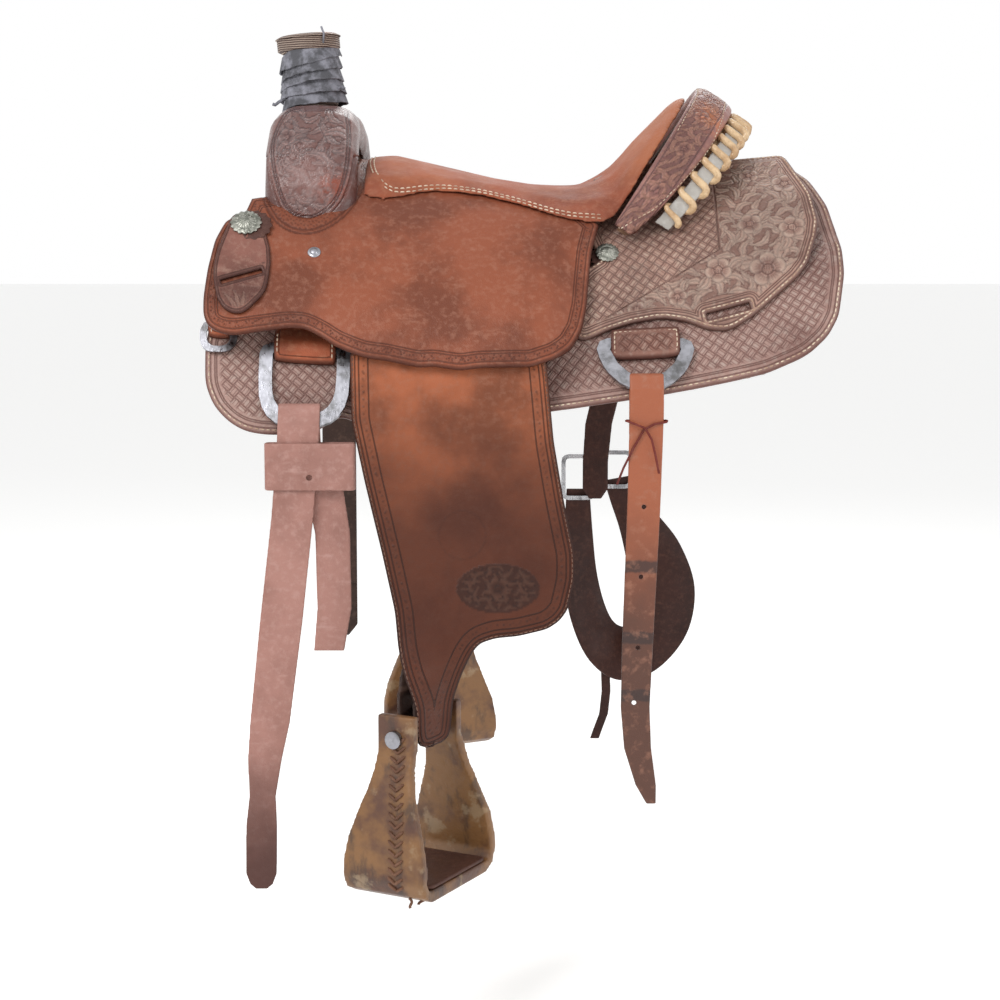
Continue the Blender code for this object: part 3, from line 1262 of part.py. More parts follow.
# A thin lace knotted round the near flank billet, its tails left hanging
LACE_TIE_R = 0.0014
tie_back, tie_front, tie_z = strap_planes(REAR_DEE, BILLET_THICK, BILLET_HALF, FLANK_X)
tie_mid = (tie_back + tie_front) / 2
tie_face = tie_front - BILLET_THICK / 2 - LACE_TIE_R - GAP
tie_over = tie_face - 2 * LACE_TIE_R - 0.0012
tie_edge = BILLET_HALF + LACE_TIE_R + 0.0012
tube("billet_tie_near", [
    (0.093, tie_face, tie_z - 0.100), (0.100, tie_face, tie_z - 0.082), (0.111, tie_face, tie_z - 0.060),
    (0.121, tie_face, tie_z - 0.042), (0.132, tie_face, tie_z - 0.036),
    (FLANK_X + tie_edge, tie_face, tie_z - 0.034),
    (FLANK_X + tie_edge + 0.001, (tie_face + tie_mid) / 2, tie_z - 0.033),
    (FLANK_X + tie_edge, tie_mid, tie_z - 0.033),
    (FLANK_X, tie_mid, tie_z - 0.034), (FLANK_X - tie_edge, tie_mid, tie_z - 0.033),
    (FLANK_X - tie_edge - 0.001, (tie_face + tie_mid) / 2, tie_z - 0.033),
    (FLANK_X - tie_edge, tie_face, tie_z - 0.033), (0.112, tie_over, tie_z - 0.036),
    (0.122, tie_over, tie_z - 0.040),
    (0.129, tie_over, tie_z - 0.052), (0.133, tie_over, tie_z - 0.068), (0.137, tie_over, tie_z - 0.088)],
    LACE_TIE_R, (0.20, 0.03, 0.02), 0.6, 0.0, 1)

# Flank cinch, folded up on the off billet: a wide body, a roller buckle at each end, a hanging strap
CINCH = 0.004
BUCKLE_BAR = 0.0055
BUCKLE_THICK = 0.004
_, flank_y, flank_z = strap_planes(REAR_DEE, BILLET_THICK, BILLET_HALF, OFF_FLANK_X)
buckle_y = -flank_y + BILLET_THICK / 2 + GAP + BUCKLE_THICK / 2
cinch_y = buckle_y + BUCKLE_THICK / 2 + GAP + CINCH / 2
FRONT_BUCKLE = (0.0720, flank_z - 0.150, 0.044, 0.060)
BACK_BUCKLE = (0.1210, flank_z - 0.140, 0.044, 0.050)


def buckle(name, place):
    x, z, wide, high = place
    outer = round_corners([(-wide / 2, -high / 2), (wide / 2, -high / 2),
                           (wide / 2, high / 2), (-wide / 2, high / 2)],
                          0.010, 3)
    hole_w, hole_h = wide / 2 - BUCKLE_BAR, high / 2 - BUCKLE_BAR
    hole = round_corners([(-hole_w, -hole_h), (hole_w, -hole_h), (hole_w, hole_h), (-hole_w, hole_h)],
                         0.005, 3)
    return plate(name, [outer, hole], BUCKLE_THICK, frame_at(Vector((x, buckle_y, z)), Vector((1, 0, 0)),
                                                            Vector((0, 0, 1))), STEEL, 0.25, 1.0)


buckle("cinch_buckle_front", FRONT_BUCKLE)
buckle("cinch_buckle_back", BACK_BUCKLE)

# Each station: x, z, and the half width across in the side view and in depth
CINCH_STATIONS = [
    (0.0720, FRONT_BUCKLE[1] - 0.016, (0.0150, 0.0), 0.0), (0.0730, -0.345, (0.0185, 0.0), 0.003),
    (0.0760, -0.400, (0.0215, 0.001), 0.010), (0.0860, -0.452, (0.0225, 0.008), 0.018),
    (0.1050, -0.492, (0.0170, 0.022), 0.018), (0.1330, -0.507, (0.0060, 0.034), 0.012),
    (0.1600, -0.488, (-0.0160, 0.040), 0.004), (0.1780, -0.450, (-0.0380, 0.030), 0.0),
    (0.1820, -0.408, (-0.0440, 0.010), 0.0), (0.1700, -0.366, (-0.0360, -0.006), 0.0),
    (0.1500, -0.328, (-0.0240, -0.010), 0.0), (0.1330, -0.296, (-0.0185, -0.008), 0.0),
    (0.1220, BACK_BUCKLE[1] - 0.012, (-0.0160, -0.003), 0.0)]
cinch_stations = [(Vector((x, cinch_y + 0.6 * deep, z)), Vector((half[0], deep, half[1])))
                  for x, z, half, deep in CINCH_STATIONS]
ribbon("flank_cinch", cinch_stations, CINCH, DARK, 0.6)

# The thin strap that would tie the flank cinch to the front cinch, hanging from the cinch's low edge
CONNECTOR_HALF = 0.0060
connector_x = 0.110
connector = [(connector_x, -0.509), (connector_x, -0.530), (connector_x + 0.001, -0.560),
             (connector_x - 0.002, -0.590),
             (connector_x - 0.010, -0.612), (connector_x - 0.014, -0.624)]
connector_y = cinch_y + 0.012
connector_half = Vector((CONNECTOR_HALF, 0, 0))
ribbon("connector_strap", [(Vector((x, connector_y, z)), connector_half) for x, z in connector],
       0.003, TAN, 0.6)

# Copies for the off side
PAIRED = ["skirt", "fleece", "tree_bar", "rear_jockey", "front_rigging", "rear_rigging", "breast_tab",
          "front_dee", "rear_dee", "breast_dee", "latigo_carrier", "front_concho", "rear_concho",
          "fender", "stirrup_leather", "stirrup", "stirrup_bolt", "stirrup_tread"]
for piece in PAIRED:
    to_off_side(piece + "_near", piece + "_off")


# What moves hangs on an empty at its axis
def pivot(name, place, pieces):
    empty = bpy.data.objects.new(name, None)
    empty.empty_display_size = 0.03
    empty.location = place
    saddle.objects.link(empty)
    bpy.context.view_layer.update()
    for piece in pieces:
        obj = bpy.data.objects[piece]
        obj.parent = empty
        obj.matrix_parent_inverse = Matrix.Translation(place).inverted()
    return empty


FENDER_PIVOT_S = 0.135
FENDER_PIVOT_X = -0.0952
fender_pivot = form(FENDER_PIVOT_X, FENDER_PIVOT_S, hang_lift(FENDER_PIVOT_S))
front_hinge, _, _ = dee_frame(FRONT_DEE, DEE_TOP_BAR)
rear_hinge, _, _ = dee_frame(REAR_DEE, DEE_TOP_BAR)
breast_hinge, _, _ = dee_frame(BREAST_DEE, BREAST_TOP_BAR)


def off_side(place):
    return Vector((place.x, -place.y, place.z))


# A strap is folded flat round its dee's bar, so it lifts with the dee
FRONT_STRAPS = {"near": ["latigo_near", "latigo_wrap"], "off": ["off_billet"]}
REAR_STRAPS = {"near": ["flank_billet_near", "billet_tie_near"],
               "off": ["flank_billet_off", "cinch_buckle_front", "cinch_buckle_back", "flank_cinch",
                       "connector_strap"]}
for side, at in (("near", lambda place: place), ("off", off_side)):
    pivot("fender_pivot_" + side, at(fender_pivot), ["fender_" + side, "stirrup_leather_" + side])
    pivot("stirrup_pivot_" + side, at(bolt_place),
          ["stirrup_" + side, "stirrup_bolt_" + side, "stirrup_tread_" + side])
    pivot("front_dee_pivot_" + side, at(front_hinge), ["front_dee_" + side] + FRONT_STRAPS[side])
    pivot("rear_dee_pivot_" + side, at(rear_hinge), ["rear_dee_" + side] + REAR_STRAPS[side])
    pivot("breast_dee_pivot_" + side, at(breast_hinge), ["breast_dee_" + side])
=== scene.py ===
import json
import math

import bmesh
import bpy
import numpy as np
from mathutils import Matrix, Vector
from mathutils.bvhtree import BVHTree
from mathutils.geometry import delaunay_2d_cdt
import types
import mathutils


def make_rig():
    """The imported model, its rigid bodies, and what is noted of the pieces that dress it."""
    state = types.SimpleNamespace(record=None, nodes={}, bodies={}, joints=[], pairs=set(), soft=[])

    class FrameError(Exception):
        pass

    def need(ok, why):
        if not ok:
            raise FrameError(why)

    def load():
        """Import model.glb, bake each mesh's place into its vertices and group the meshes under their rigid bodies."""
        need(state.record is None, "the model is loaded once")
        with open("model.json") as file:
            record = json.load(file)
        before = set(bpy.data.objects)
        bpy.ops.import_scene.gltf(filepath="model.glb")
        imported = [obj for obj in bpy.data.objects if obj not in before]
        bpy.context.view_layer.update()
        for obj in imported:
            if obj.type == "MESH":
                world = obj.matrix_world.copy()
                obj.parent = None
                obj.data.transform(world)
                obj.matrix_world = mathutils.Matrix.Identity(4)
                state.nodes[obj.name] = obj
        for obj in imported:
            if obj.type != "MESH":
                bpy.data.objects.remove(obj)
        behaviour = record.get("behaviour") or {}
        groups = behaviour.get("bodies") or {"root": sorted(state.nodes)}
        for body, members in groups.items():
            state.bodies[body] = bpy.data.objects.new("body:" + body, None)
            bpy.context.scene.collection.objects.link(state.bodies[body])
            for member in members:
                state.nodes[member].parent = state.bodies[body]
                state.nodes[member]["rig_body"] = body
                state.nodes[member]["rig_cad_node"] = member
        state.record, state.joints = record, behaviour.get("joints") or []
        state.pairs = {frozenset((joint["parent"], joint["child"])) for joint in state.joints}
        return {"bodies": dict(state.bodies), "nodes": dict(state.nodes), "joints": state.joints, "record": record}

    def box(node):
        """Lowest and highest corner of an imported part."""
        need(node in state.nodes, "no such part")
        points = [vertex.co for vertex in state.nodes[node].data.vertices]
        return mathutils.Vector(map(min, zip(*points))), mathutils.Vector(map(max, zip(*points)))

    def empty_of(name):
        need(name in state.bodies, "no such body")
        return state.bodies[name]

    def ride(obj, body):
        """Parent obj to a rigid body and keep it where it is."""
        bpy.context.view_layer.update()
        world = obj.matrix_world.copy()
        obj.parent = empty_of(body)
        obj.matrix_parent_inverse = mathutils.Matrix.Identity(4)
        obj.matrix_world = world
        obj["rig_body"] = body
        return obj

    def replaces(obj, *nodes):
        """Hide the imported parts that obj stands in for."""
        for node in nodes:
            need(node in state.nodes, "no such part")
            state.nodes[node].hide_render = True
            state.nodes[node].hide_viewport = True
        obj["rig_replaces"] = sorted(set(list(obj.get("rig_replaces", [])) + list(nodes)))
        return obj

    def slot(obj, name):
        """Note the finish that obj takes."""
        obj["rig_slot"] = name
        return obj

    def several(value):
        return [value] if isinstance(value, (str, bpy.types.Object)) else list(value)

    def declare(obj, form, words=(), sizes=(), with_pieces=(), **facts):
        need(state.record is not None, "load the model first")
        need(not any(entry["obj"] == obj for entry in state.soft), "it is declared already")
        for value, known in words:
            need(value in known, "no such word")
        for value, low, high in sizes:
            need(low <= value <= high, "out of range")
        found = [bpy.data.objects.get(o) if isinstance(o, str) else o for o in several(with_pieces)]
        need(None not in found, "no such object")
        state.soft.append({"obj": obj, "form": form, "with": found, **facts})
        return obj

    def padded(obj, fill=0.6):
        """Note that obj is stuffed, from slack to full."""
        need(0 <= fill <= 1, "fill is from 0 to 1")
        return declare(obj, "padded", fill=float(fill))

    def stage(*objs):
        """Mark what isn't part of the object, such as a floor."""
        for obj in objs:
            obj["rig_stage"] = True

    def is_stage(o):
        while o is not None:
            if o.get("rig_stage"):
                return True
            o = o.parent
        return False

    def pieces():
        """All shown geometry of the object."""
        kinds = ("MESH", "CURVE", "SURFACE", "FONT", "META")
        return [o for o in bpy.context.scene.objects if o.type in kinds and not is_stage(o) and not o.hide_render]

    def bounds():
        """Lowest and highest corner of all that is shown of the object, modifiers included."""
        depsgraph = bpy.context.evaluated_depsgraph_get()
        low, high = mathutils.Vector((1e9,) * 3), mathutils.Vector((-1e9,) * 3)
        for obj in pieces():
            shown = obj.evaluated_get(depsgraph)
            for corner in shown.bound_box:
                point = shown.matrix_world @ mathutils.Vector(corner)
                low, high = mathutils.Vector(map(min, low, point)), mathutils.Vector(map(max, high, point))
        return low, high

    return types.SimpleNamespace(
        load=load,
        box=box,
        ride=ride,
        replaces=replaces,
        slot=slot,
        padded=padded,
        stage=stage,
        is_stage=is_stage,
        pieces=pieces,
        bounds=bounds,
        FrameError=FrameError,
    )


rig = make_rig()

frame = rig.load()
cad_low, cad_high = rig.bounds()
nodes = frame["nodes"]

# Studio: a camera a little above the rigging, a pale floor well under the stirrups, and three soft lamps.
# Nothing here is part of the saddle. The backdrop's white is seen by the camera and in the metal only.
eye = bpy.data.cameras.new("eye")
eye.lens = 72.3
camera = bpy.data.objects.new("camera", eye)
camera.location = (-0.03, -2.35, 0.03)
camera.rotation_euler = (math.radians(90 - 7.26), 0, 0)
bpy.context.scene.collection.objects.link(camera)
bpy.context.scene.camera = camera
bpy.context.scene.view_settings.view_transform = "Standard"

world = bpy.data.worlds.new("studio")
bpy.context.scene.world = world
world.use_nodes = True
backdrop = world.node_tree.nodes["Background"]
backdrop.inputs["Color"].default_value = (1.0, 1.0, 1.0, 1)
ray = world.node_tree.nodes.new("ShaderNodeLightPath")
seen = world.node_tree.nodes.new("ShaderNodeMath")
seen.operation = "MAXIMUM"
world.node_tree.links.new(ray.outputs["Is Camera Ray"], seen.inputs[0])
world.node_tree.links.new(ray.outputs["Is Glossy Ray"], seen.inputs[1])
level = world.node_tree.nodes.new("ShaderNodeMapRange")
WORLD_LIGHT, BACKDROP_WHITE = 0.52, 1.0
level.inputs["To Min"].default_value = WORLD_LIGHT
level.inputs["To Max"].default_value = BACKDROP_WHITE
world.node_tree.links.new(seen.outputs[0], level.inputs["Value"])
world.node_tree.links.new(level.outputs["Result"], backdrop.inputs["Strength"])

for name, place, size, power in (("key", (-1.6, -2.2, 1.9), 1.3, 54), ("fill", (2.1, -1.7, 1.0), 1.8, 20),
                                 ("back", (0.4, 2.2, 1.9), 1.6, 24)):
    lamp = bpy.data.lights.new(name, "AREA")
    lamp.size = size
    lamp.energy = power
    light = bpy.data.objects.new(name, lamp)
    light.location = place
    light.rotation_euler = (Vector((0, 0, -0.15)) - Vector(place)).to_track_quat("-Z", "Y").to_euler()
    bpy.context.scene.collection.objects.link(light)

ground = bpy.data.meshes.new("floor")
ground.from_pydata([(-40, -40, -0.80), (40, -40, -0.80), (40, 40, -0.80), (-40, 40, -0.80)], [], [(0, 1, 2, 3)])
paint = bpy.data.materials.new("floor_paint")
paint.use_nodes = True
paint.node_tree.nodes["Principled BSDF"].inputs["Base Color"].default_value = (0.93, 0.93, 0.92, 1)
paint.node_tree.nodes["Principled BSDF"].inputs["Roughness"].default_value = 0.9
paint.node_tree.nodes["Principled BSDF"].inputs["Emission Color"].default_value = (1, 1, 1, 1)
paint.node_tree.nodes["Principled BSDF"].inputs["Emission Strength"].default_value = 0.38
ground.materials.append(paint)
floor = bpy.data.objects.new("floor", ground)
bpy.context.scene.collection.objects.link(floor)
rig.stage(floor)


# Skirts: two large pieces of 5 mm skirting leather under everything, basket stamped, with a border and a
# stitched edge where the fleece is sewn on. They are blocked wet to the tree, so they bend without a crease.
class Finish:
    """A material being mixed: each call adds a node and gives back its outgoing socket."""

    def __init__(self, name, roughness, metallic=0.0):
        self.material = bpy.data.materials.new(name)
        self.material.use_nodes = True
        self.tree = self.material.node_tree
        self.shader = self.tree.nodes["Principled BSDF"]
        self.shader.inputs["Roughness"].default_value = roughness
        self.shader.inputs["Metallic"].default_value = metallic
        self.bumped = None

    def node(self, kind, inputs, **settings):
        node = self.tree.nodes.new(kind)
        for key, value in settings.items():
            setattr(node, key, value)
        for key, value in inputs.items():
            self.feed(node.inputs[key], value)
        return node

    def feed(self, socket, value):
        if isinstance(value, bpy.types.NodeSocket):
            self.tree.links.new(value, socket)
        elif hasattr(value, "__len__") and len(value) == 3 and socket.type == "RGBA":
            socket.default_value = (*value, 1)
        else:
            socket.default_value = value

    def calc(self, operation, *values):
        return self.node("ShaderNodeMath", dict(enumerate(values)), operation=operation).outputs[0]

    def place(self, stretch=(1, 1, 1), turn=(0, 0, 0)):
        at = self.node("ShaderNodeTexCoord", {}).outputs["Object"]
        return self.node("ShaderNodeMapping", {"Vector": at, "Scale": stretch, "Rotation": turn}).outputs[0]

    def drawn(self, attribute):
        """The three numbers that a piece carries at each point."""
        vector = self.node("ShaderNodeAttribute", {}, attribute_name=attribute).outputs["Vector"]
        return self.node("ShaderNodeSeparateXYZ", {"Vector": vector}).outputs[:]

    def mottle(self, scale, detail=3.0, stretch=(1, 1, 1)):
        return self.node("ShaderNodeTexNoise", {"Vector": self.place(stretch), "Scale": scale, "Detail": detail,
                                                "Roughness": 0.6}).outputs["Fac"]

    def pores(self, scale, stretch=(1, 1, 1)):
        return self.node("ShaderNodeTexVoronoi", {"Vector": self.place(stretch), "Scale": scale}).outputs["Distance"]

    def step(self, value, low, high, start=0.0, stop=1.0):
        return self.node("ShaderNodeMapRange", {"Value": value, "From Min": low, "From Max": high, "To Min": start,
                                                "To Max": stop}, interpolation_type="SMOOTHSTEP").outputs[0]

    def tint(self, share, one, other):
        mix = self.node("ShaderNodeMix", {}, data_type="RGBA")
        for socket, value in zip((mix.inputs[0], mix.inputs[6], mix.inputs[7]), (share, one, other)):
            self.feed(socket, value)
        return mix.outputs[2]

    def press(self, height, depth, strength=1.0):
        """Raise the surface where height is 1, by depth metres."""
        bump = self.node("ShaderNodeBump", {"Height": height, "Distance": depth, "Strength": strength})
        if self.bumped is not None:
            self.feed(bump.inputs["Normal"], self.bumped)
        self.bumped = bump.outputs[0]

    def done(self, colour, roughness=None):
        self.feed(self.shader.inputs["Base Color"], colour)
        if roughness is not None:
            self.feed(self.shader.inputs["Roughness"], roughness)
        if self.bumped is not None:
            self.feed(self.shader.inputs["Normal"], self.bumped)
        return self.material


WEAVE_CELL = 0.0088


def basket(finish, u, v):
    """Height of a basket stamp: short strips crossing each other, row by row on the slant."""
    slant = math.radians(38)
    p = finish.calc("ADD", finish.calc("MULTIPLY", u, math.cos(slant) / WEAVE_CELL),
                    finish.calc("MULTIPLY", v, math.sin(slant) / WEAVE_CELL))
    q = finish.calc("SUBTRACT", finish.calc("MULTIPLY", v, math.cos(slant) / WEAVE_CELL),
                    finish.calc("MULTIPLY", u, math.sin(slant) / WEAVE_CELL))
    odd = finish.calc("GREATER_THAN", finish.calc("FLOORED_MODULO", finish.calc(
        "ADD", finish.calc("FLOOR", p), finish.calc("FLOOR", q)), 2.0), 0.5)
    across = [finish.calc("ABSOLUTE", finish.calc("MULTIPLY_ADD", finish.calc("FRACT", w), 2.0, -1.0))
              for w in (p, q)]
    strips = []
    for one, other in (across, across[::-1]):
        groove = finish.step(finish.calc("ABSOLUTE", finish.calc("SUBTRACT", one, 0.42)), 0.03, 0.17, 0.50, 1.0)
        round_top = finish.calc("MULTIPLY", groove, finish.calc("SUBTRACT", 1.0, finish.calc("POWER", one, 3.0)))
        fall = finish.calc("SUBTRACT", 1.0, finish.calc("MULTIPLY", finish.calc("POWER", other, 4.0), 0.75))
        strips.append(finish.calc("MULTIPLY", round_top, fall))
    chosen = finish.node("ShaderNodeMix", {0: odd, 2: strips[0], 3: strips[1]}, data_type="FLOAT")
    return chosen.outputs[0]


def leather(name, ground, dark, wear_and_highlight, rough=0.5, lines=(), stamped=False, tooled=False, cells=900, nap=0.0,
            fade=None, scuffs=0.35, band=None, gloss=0.22, patch=None):
    """Vegetable-tanned leather: blotched colour, pores, burnished edge, creased lines, stamps and carving, with a
    painted highlight on raised stamps and carving.
    """
    finish = Finish(name, rough)
    blotch = finish.step(finish.mottle(11, 4), 0.38, 0.66)
    colour = finish.tint(blotch, ground, [g * 0.45 + d * 0.55 for g, d in zip(ground, dark)])
    speck = finish.step(finish.mottle(150, 4), 0.45, 0.72)
    colour = finish.tint(finish.calc("MULTIPLY", speck, 0.30), colour, wear_and_highlight)
    scratch = finish.step(finish.mottle(26, 5, (1, 1, 3.5)), 0.60, 0.74)
    colour = finish.tint(finish.calc("MULTIPLY", scratch, scuffs), colour, wear_and_highlight)
    if fade is not None:
        low, high, shade = fade
        z = finish.node("ShaderNodeSeparateXYZ", {"Vector": finish.place()}).outputs["Z"]
        wavy = finish.calc("MULTIPLY_ADD", finish.mottle(14), 0.12, z)
        colour = finish.tint(finish.step(wavy, high + 0.06, low + 0.06, 0.0, 0.88), colour, shade)
    if lines or stamped or tooled:
        u, v, rim = finish.drawn("flat")
        edge = finish.step(rim, 0.0004, 0.0042, 0.85, 0.0)
        colour = finish.tint(edge, colour, dark)
    if patch is not None:
        worn_through = finish.calc("MULTIPLY", finish.drawn("tool")[0], finish.step(finish.mottle(120, 4), 0.36, 0.56))
        colour = finish.tint(worn_through, colour, patch)
    if stamped:
        mask = finish.drawn("tool")[0]
        weave = basket(finish, u, v)
        shown = finish.calc("MULTIPLY", mask, finish.step(weave, 0.25, 0.75, 1.0, 0.0))
        colour = finish.tint(finish.calc("MULTIPLY", shown, 0.62), colour, dark)
        # The tops of the stamped strips take the pale colour: partly real wear, partly a painted highlight.
        high = finish.calc("MULTIPLY", mask, finish.step(weave, 0.72, 1.0))
        colour = finish.tint(finish.calc("MULTIPLY", high, finish.step(finish.mottle(19), 0.40, 0.62, 0.05, 0.34)),
                             colour, wear_and_highlight)
        finish.press(finish.calc("MULTIPLY", mask, weave), 0.0011)
    if tooled:
        _, cut, raised = finish.drawn("tool")
        colour = finish.tint(finish.calc("MULTIPLY", cut, 0.85), colour, dark)
        # Raised carving takes the same pale colour: partly real wear, partly a painted highlight.
        colour = finish.tint(finish.calc("MULTIPLY", raised, 0.42), colour, wear_and_highlight)
        finish.press(finish.calc("SUBTRACT", 1.0, cut), 0.0006)
    if band is not None:
        low, high = band
        along = finish.calc("MULTIPLY", finish.step(rim, low - 0.0004, low + 0.0004),
                            finish.step(rim, high + 0.0004, high - 0.0004))
        pits = finish.step(finish.pores(330), 0.15, 0.55, 1.0, 0.25)
        colour = finish.tint(finish.calc("MULTIPLY", finish.calc("MULTIPLY", along, pits), 0.80), colour, dark)
        finish.press(finish.calc("SUBTRACT", 1.0, finish.calc("MULTIPLY", along, pits)), 0.0007)
    for at, half in lines:
        off = finish.calc("ABSOLUTE", finish.calc("SUBTRACT", rim, at))
        line = finish.step(off, half * 0.4, half * 1.5, 1.0, 0.0)
        colour = finish.tint(finish.calc("MULTIPLY", line, 0.72), colour, dark)
        finish.press(finish.calc("SUBTRACT", 1.0, line), 0.0007)
    finish.press(finish.pores(cells), 0.00022)
    finish.press(finish.mottle(75, 4), 0.0007 + nap)
    finish.shader.inputs["Specular IOR Level"].default_value = gloss
    if nap:
        finish.shader.inputs["Sheen Weight"].default_value = 0.12
        finish.shader.inputs["Sheen Roughness"].default_value = 0.6
    return finish.done(colour, finish.step(finish.mottle(38), 0.3, 0.7, rough - 0.07, rough + 0.12))


FORM_RADIUS = 0.430
FORM_OFFSET = 0.190
FORM_DROP = -0.287
FORM_DIP = (-0.03, 0.16)


def unroll(points):
    """From the near side's space to the flat of the side leathers: along, down the side, and off the form."""
    up = points[:, 2] - FORM_DROP - FORM_DIP[1] * (points[:, 0] - FORM_DIP[0]) ** 2
    out = FORM_OFFSET - points[:, 1]
    s = (np.arctan2(out, up) - math.asin(FORM_OFFSET / FORM_RADIUS)) * FORM_RADIUS
    return np.stack([points[:, 0], s, np.hypot(out, up) - FORM_RADIUS], 1)


def roll(flat):
    """Back from the flat to the near side's space."""
    phi = math.asin(FORM_OFFSET / FORM_RADIUS) + flat[:, 1] / FORM_RADIUS
    r = FORM_RADIUS + flat[:, 2]
    z = FORM_DROP + FORM_DIP[1] * (flat[:, 0] - FORM_DIP[0]) ** 2 + r * np.cos(phi)
    return np.stack([flat[:, 0], FORM_OFFSET - r * np.sin(phi), z], 1)


def solid_of(node, near_half=False):
    """A CAD node's welded corners and triangles."""
    bm = bmesh.new()
    bm.from_mesh(nodes[node].data)
    bmesh.ops.remove_doubles(bm, verts=bm.verts[:], dist=1e-5)
    if near_half:
        bmesh.ops.bisect_plane(bm, geom=bm.verts[:] + bm.edges[:] + bm.faces[:], plane_co=(0, 0, 0),
                               plane_no=(0, 1, 0), clear_outer=True)
    bmesh.ops.triangulate(bm, faces=bm.faces[:])
    bm.verts.index_update()
    corners = np.array([v.co[:] for v in bm.verts])
    triangles = np.array([[v.index for v in f.verts] for f in bm.faces])
    bm.free()
    return corners, triangles


def loops_of(triangles):
    """The closed rims of a set of triangles, as lists of corners."""
    count = {}
    for a, b, c in triangles:
        for i, j in ((a, b), (b, c), (c, a)):
            count[(i, j)] = count.get((i, j), 0) + 1
    following = {}
    for (i, j) in count:
        if (j, i) not in count:
            following[i] = j
    loops = []
    while following:
        start = next(iter(following))
        loop = [start]
        here = following.pop(start)
        while here != start and here in following:
            loop.append(here)
            here = following.pop(here)
        loops.append(loop)
    return loops


def distance_to(points, loops):
    """Distance of points in the flat from the rims."""
    best = np.full(len(points), 1e9)
    for loop in loops:
        for a, b in zip(loop, np.roll(loop, -1, 0)):
            along = b - a
            t = np.clip(((points - a) @ along) / max(along @ along, 1e-12), 0, 1)
            best = np.minimum(best, ((points - a - t[:, None] * along) ** 2).sum(1))
    return np.sqrt(best)


def inside_of(points, loops):
    inside = np.zeros(len(points), bool)
    for loop in loops:
        for a, b in zip(loop, np.roll(loop, -1, 0)):
            if a[1] == b[1]:
                continue
            crosses = (a[1] > points[:, 1]) != (b[1] > points[:, 1])
            inside ^= crosses & (points[:, 0] < (b[0] - a[0]) * (points[:, 1] - a[1]) / (b[1] - a[1]) + a[0])
    return inside


SHARP_BEND = 50


def soft_rim(loop, step):
    """A rim with points a step apart, its small corners rounded and its sharp ones kept."""
    kept, fine = [], []
    for before, here, after in zip(np.roll(loop, 1, 0), loop, np.roll(loop, -1, 0)):
        a, b = here - before, after - here
        bend = abs(math.degrees(math.atan2(a[0] * b[1] - a[1] * b[0], a @ b)))
        parts = max(1, round(np.linalg.norm(after - here) / step))
        for k in range(parts):
            fine.append(here + (after - here) * k / parts)
            kept.append(k == 0 and bend > SHARP_BEND)
    fine, kept = np.array(fine), np.array(kept)
    for _ in range(8):
        middle = (np.roll(fine, 1, 0) + np.roll(fine, -1, 0)) / 2
        fine = np.where(kept[:, None], fine, fine * 0.5 + middle * 0.5)
    return fine


def meshed_flat(loops, step):
    """Points and triangles that fill the rims, about a step apart."""
    rim = np.concatenate(loops)
    low, high = rim.min(0), rim.max(0)
    rows = []
    for k, y in enumerate(np.arange(low[1], high[1], step * 0.866)):
        xs = np.arange(low[0] + (step / 2 if k % 2 else 0), high[0], step)
        rows.append(np.stack([xs, np.full(len(xs), y)], 1))
    lattice = np.concatenate(rows)
    lattice = lattice[inside_of(lattice, loops)]
    lattice = lattice[distance_to(lattice, loops) > 0.6 * step]
    points = np.concatenate([rim, lattice])
    edges, first = [], 0
    for loop in loops:
        edges += [(first + i, first + (i + 1) % len(loop)) for i in range(len(loop))]
        first += len(loop)
    made = delaunay_2d_cdt([Vector(p) for p in points * 1000], edges, [], 0, 1e-6)
    flat = np.array([v[:] for v in made[0]]) / 1000
    faces = np.array([f for f in made[2]])
    faces = faces[inside_of(flat[faces].mean(1), loops)]
    return flat, faces


def face_of(node, step, spaces=(unroll, roll), near_half=False, least=0.35, reroute=None):
    """The outer face of a CAD leather in the flat: its rims, and how far it stands off."""
    corners, triangles = solid_of(node, near_half)
    flat_corners = spaces[0](corners)
    a, b, c = (flat_corners[triangles[:, k]] for k in range(3))
    across = np.cross(b - a, c - a)
    facing = across[:, 2] / np.maximum(np.linalg.norm(across, axis=1), 1e-15)
    if (facing * np.linalg.norm(across, axis=1) * (a + b + c)[:, 2]).sum() < 0:
        facing = -facing
        triangles = triangles[:, ::-1]
    top = triangles[facing > least]
    tree = BVHTree.FromPolygons([Vector(p) for p in flat_corners], top.tolist())
    rims = [flat_corners[loop][:, :2] for loop in loops_of(top) if len(loop) > 2]
    if reroute:
        rims = [reroute(rim) for rim in rims]
    loops = [soft_rim(rim, step) for rim in rims]

    def lift(points):
        heights = np.empty(len(points))
        for k, (x, y) in enumerate(points):
            hit = tree.ray_cast(Vector((x, y, 1)), Vector((0, 0, -1)))[0]
            heights[k] = hit.z if hit else tree.find_nearest(Vector((x, y, heights[k - 1])))[0].z
        return heights

    return loops, lift


def rerouted(rim, start, end, path):
    """The rim with its stretch between two places, the one that passes nearer to the path, laid anew."""
    first = int(((rim - start) ** 2).sum(1).argmin())
    last = int(((rim - end) ** 2).sum(1).argmin())
    rim = np.roll(rim, -first, 0)
    last = (last - first) % len(rim)
    path = np.array(path, float)
    middle = path.mean(0)
    one, other = rim[:last + 1], np.concatenate([rim[last:], rim[:1]])
    if ((one - middle) ** 2).sum(1).min() < ((other - middle) ** 2).sum(1).min():
        return np.concatenate([path, rim[last:], rim[:1]])
    return np.concatenate([rim[:last + 1], path[::-1]])


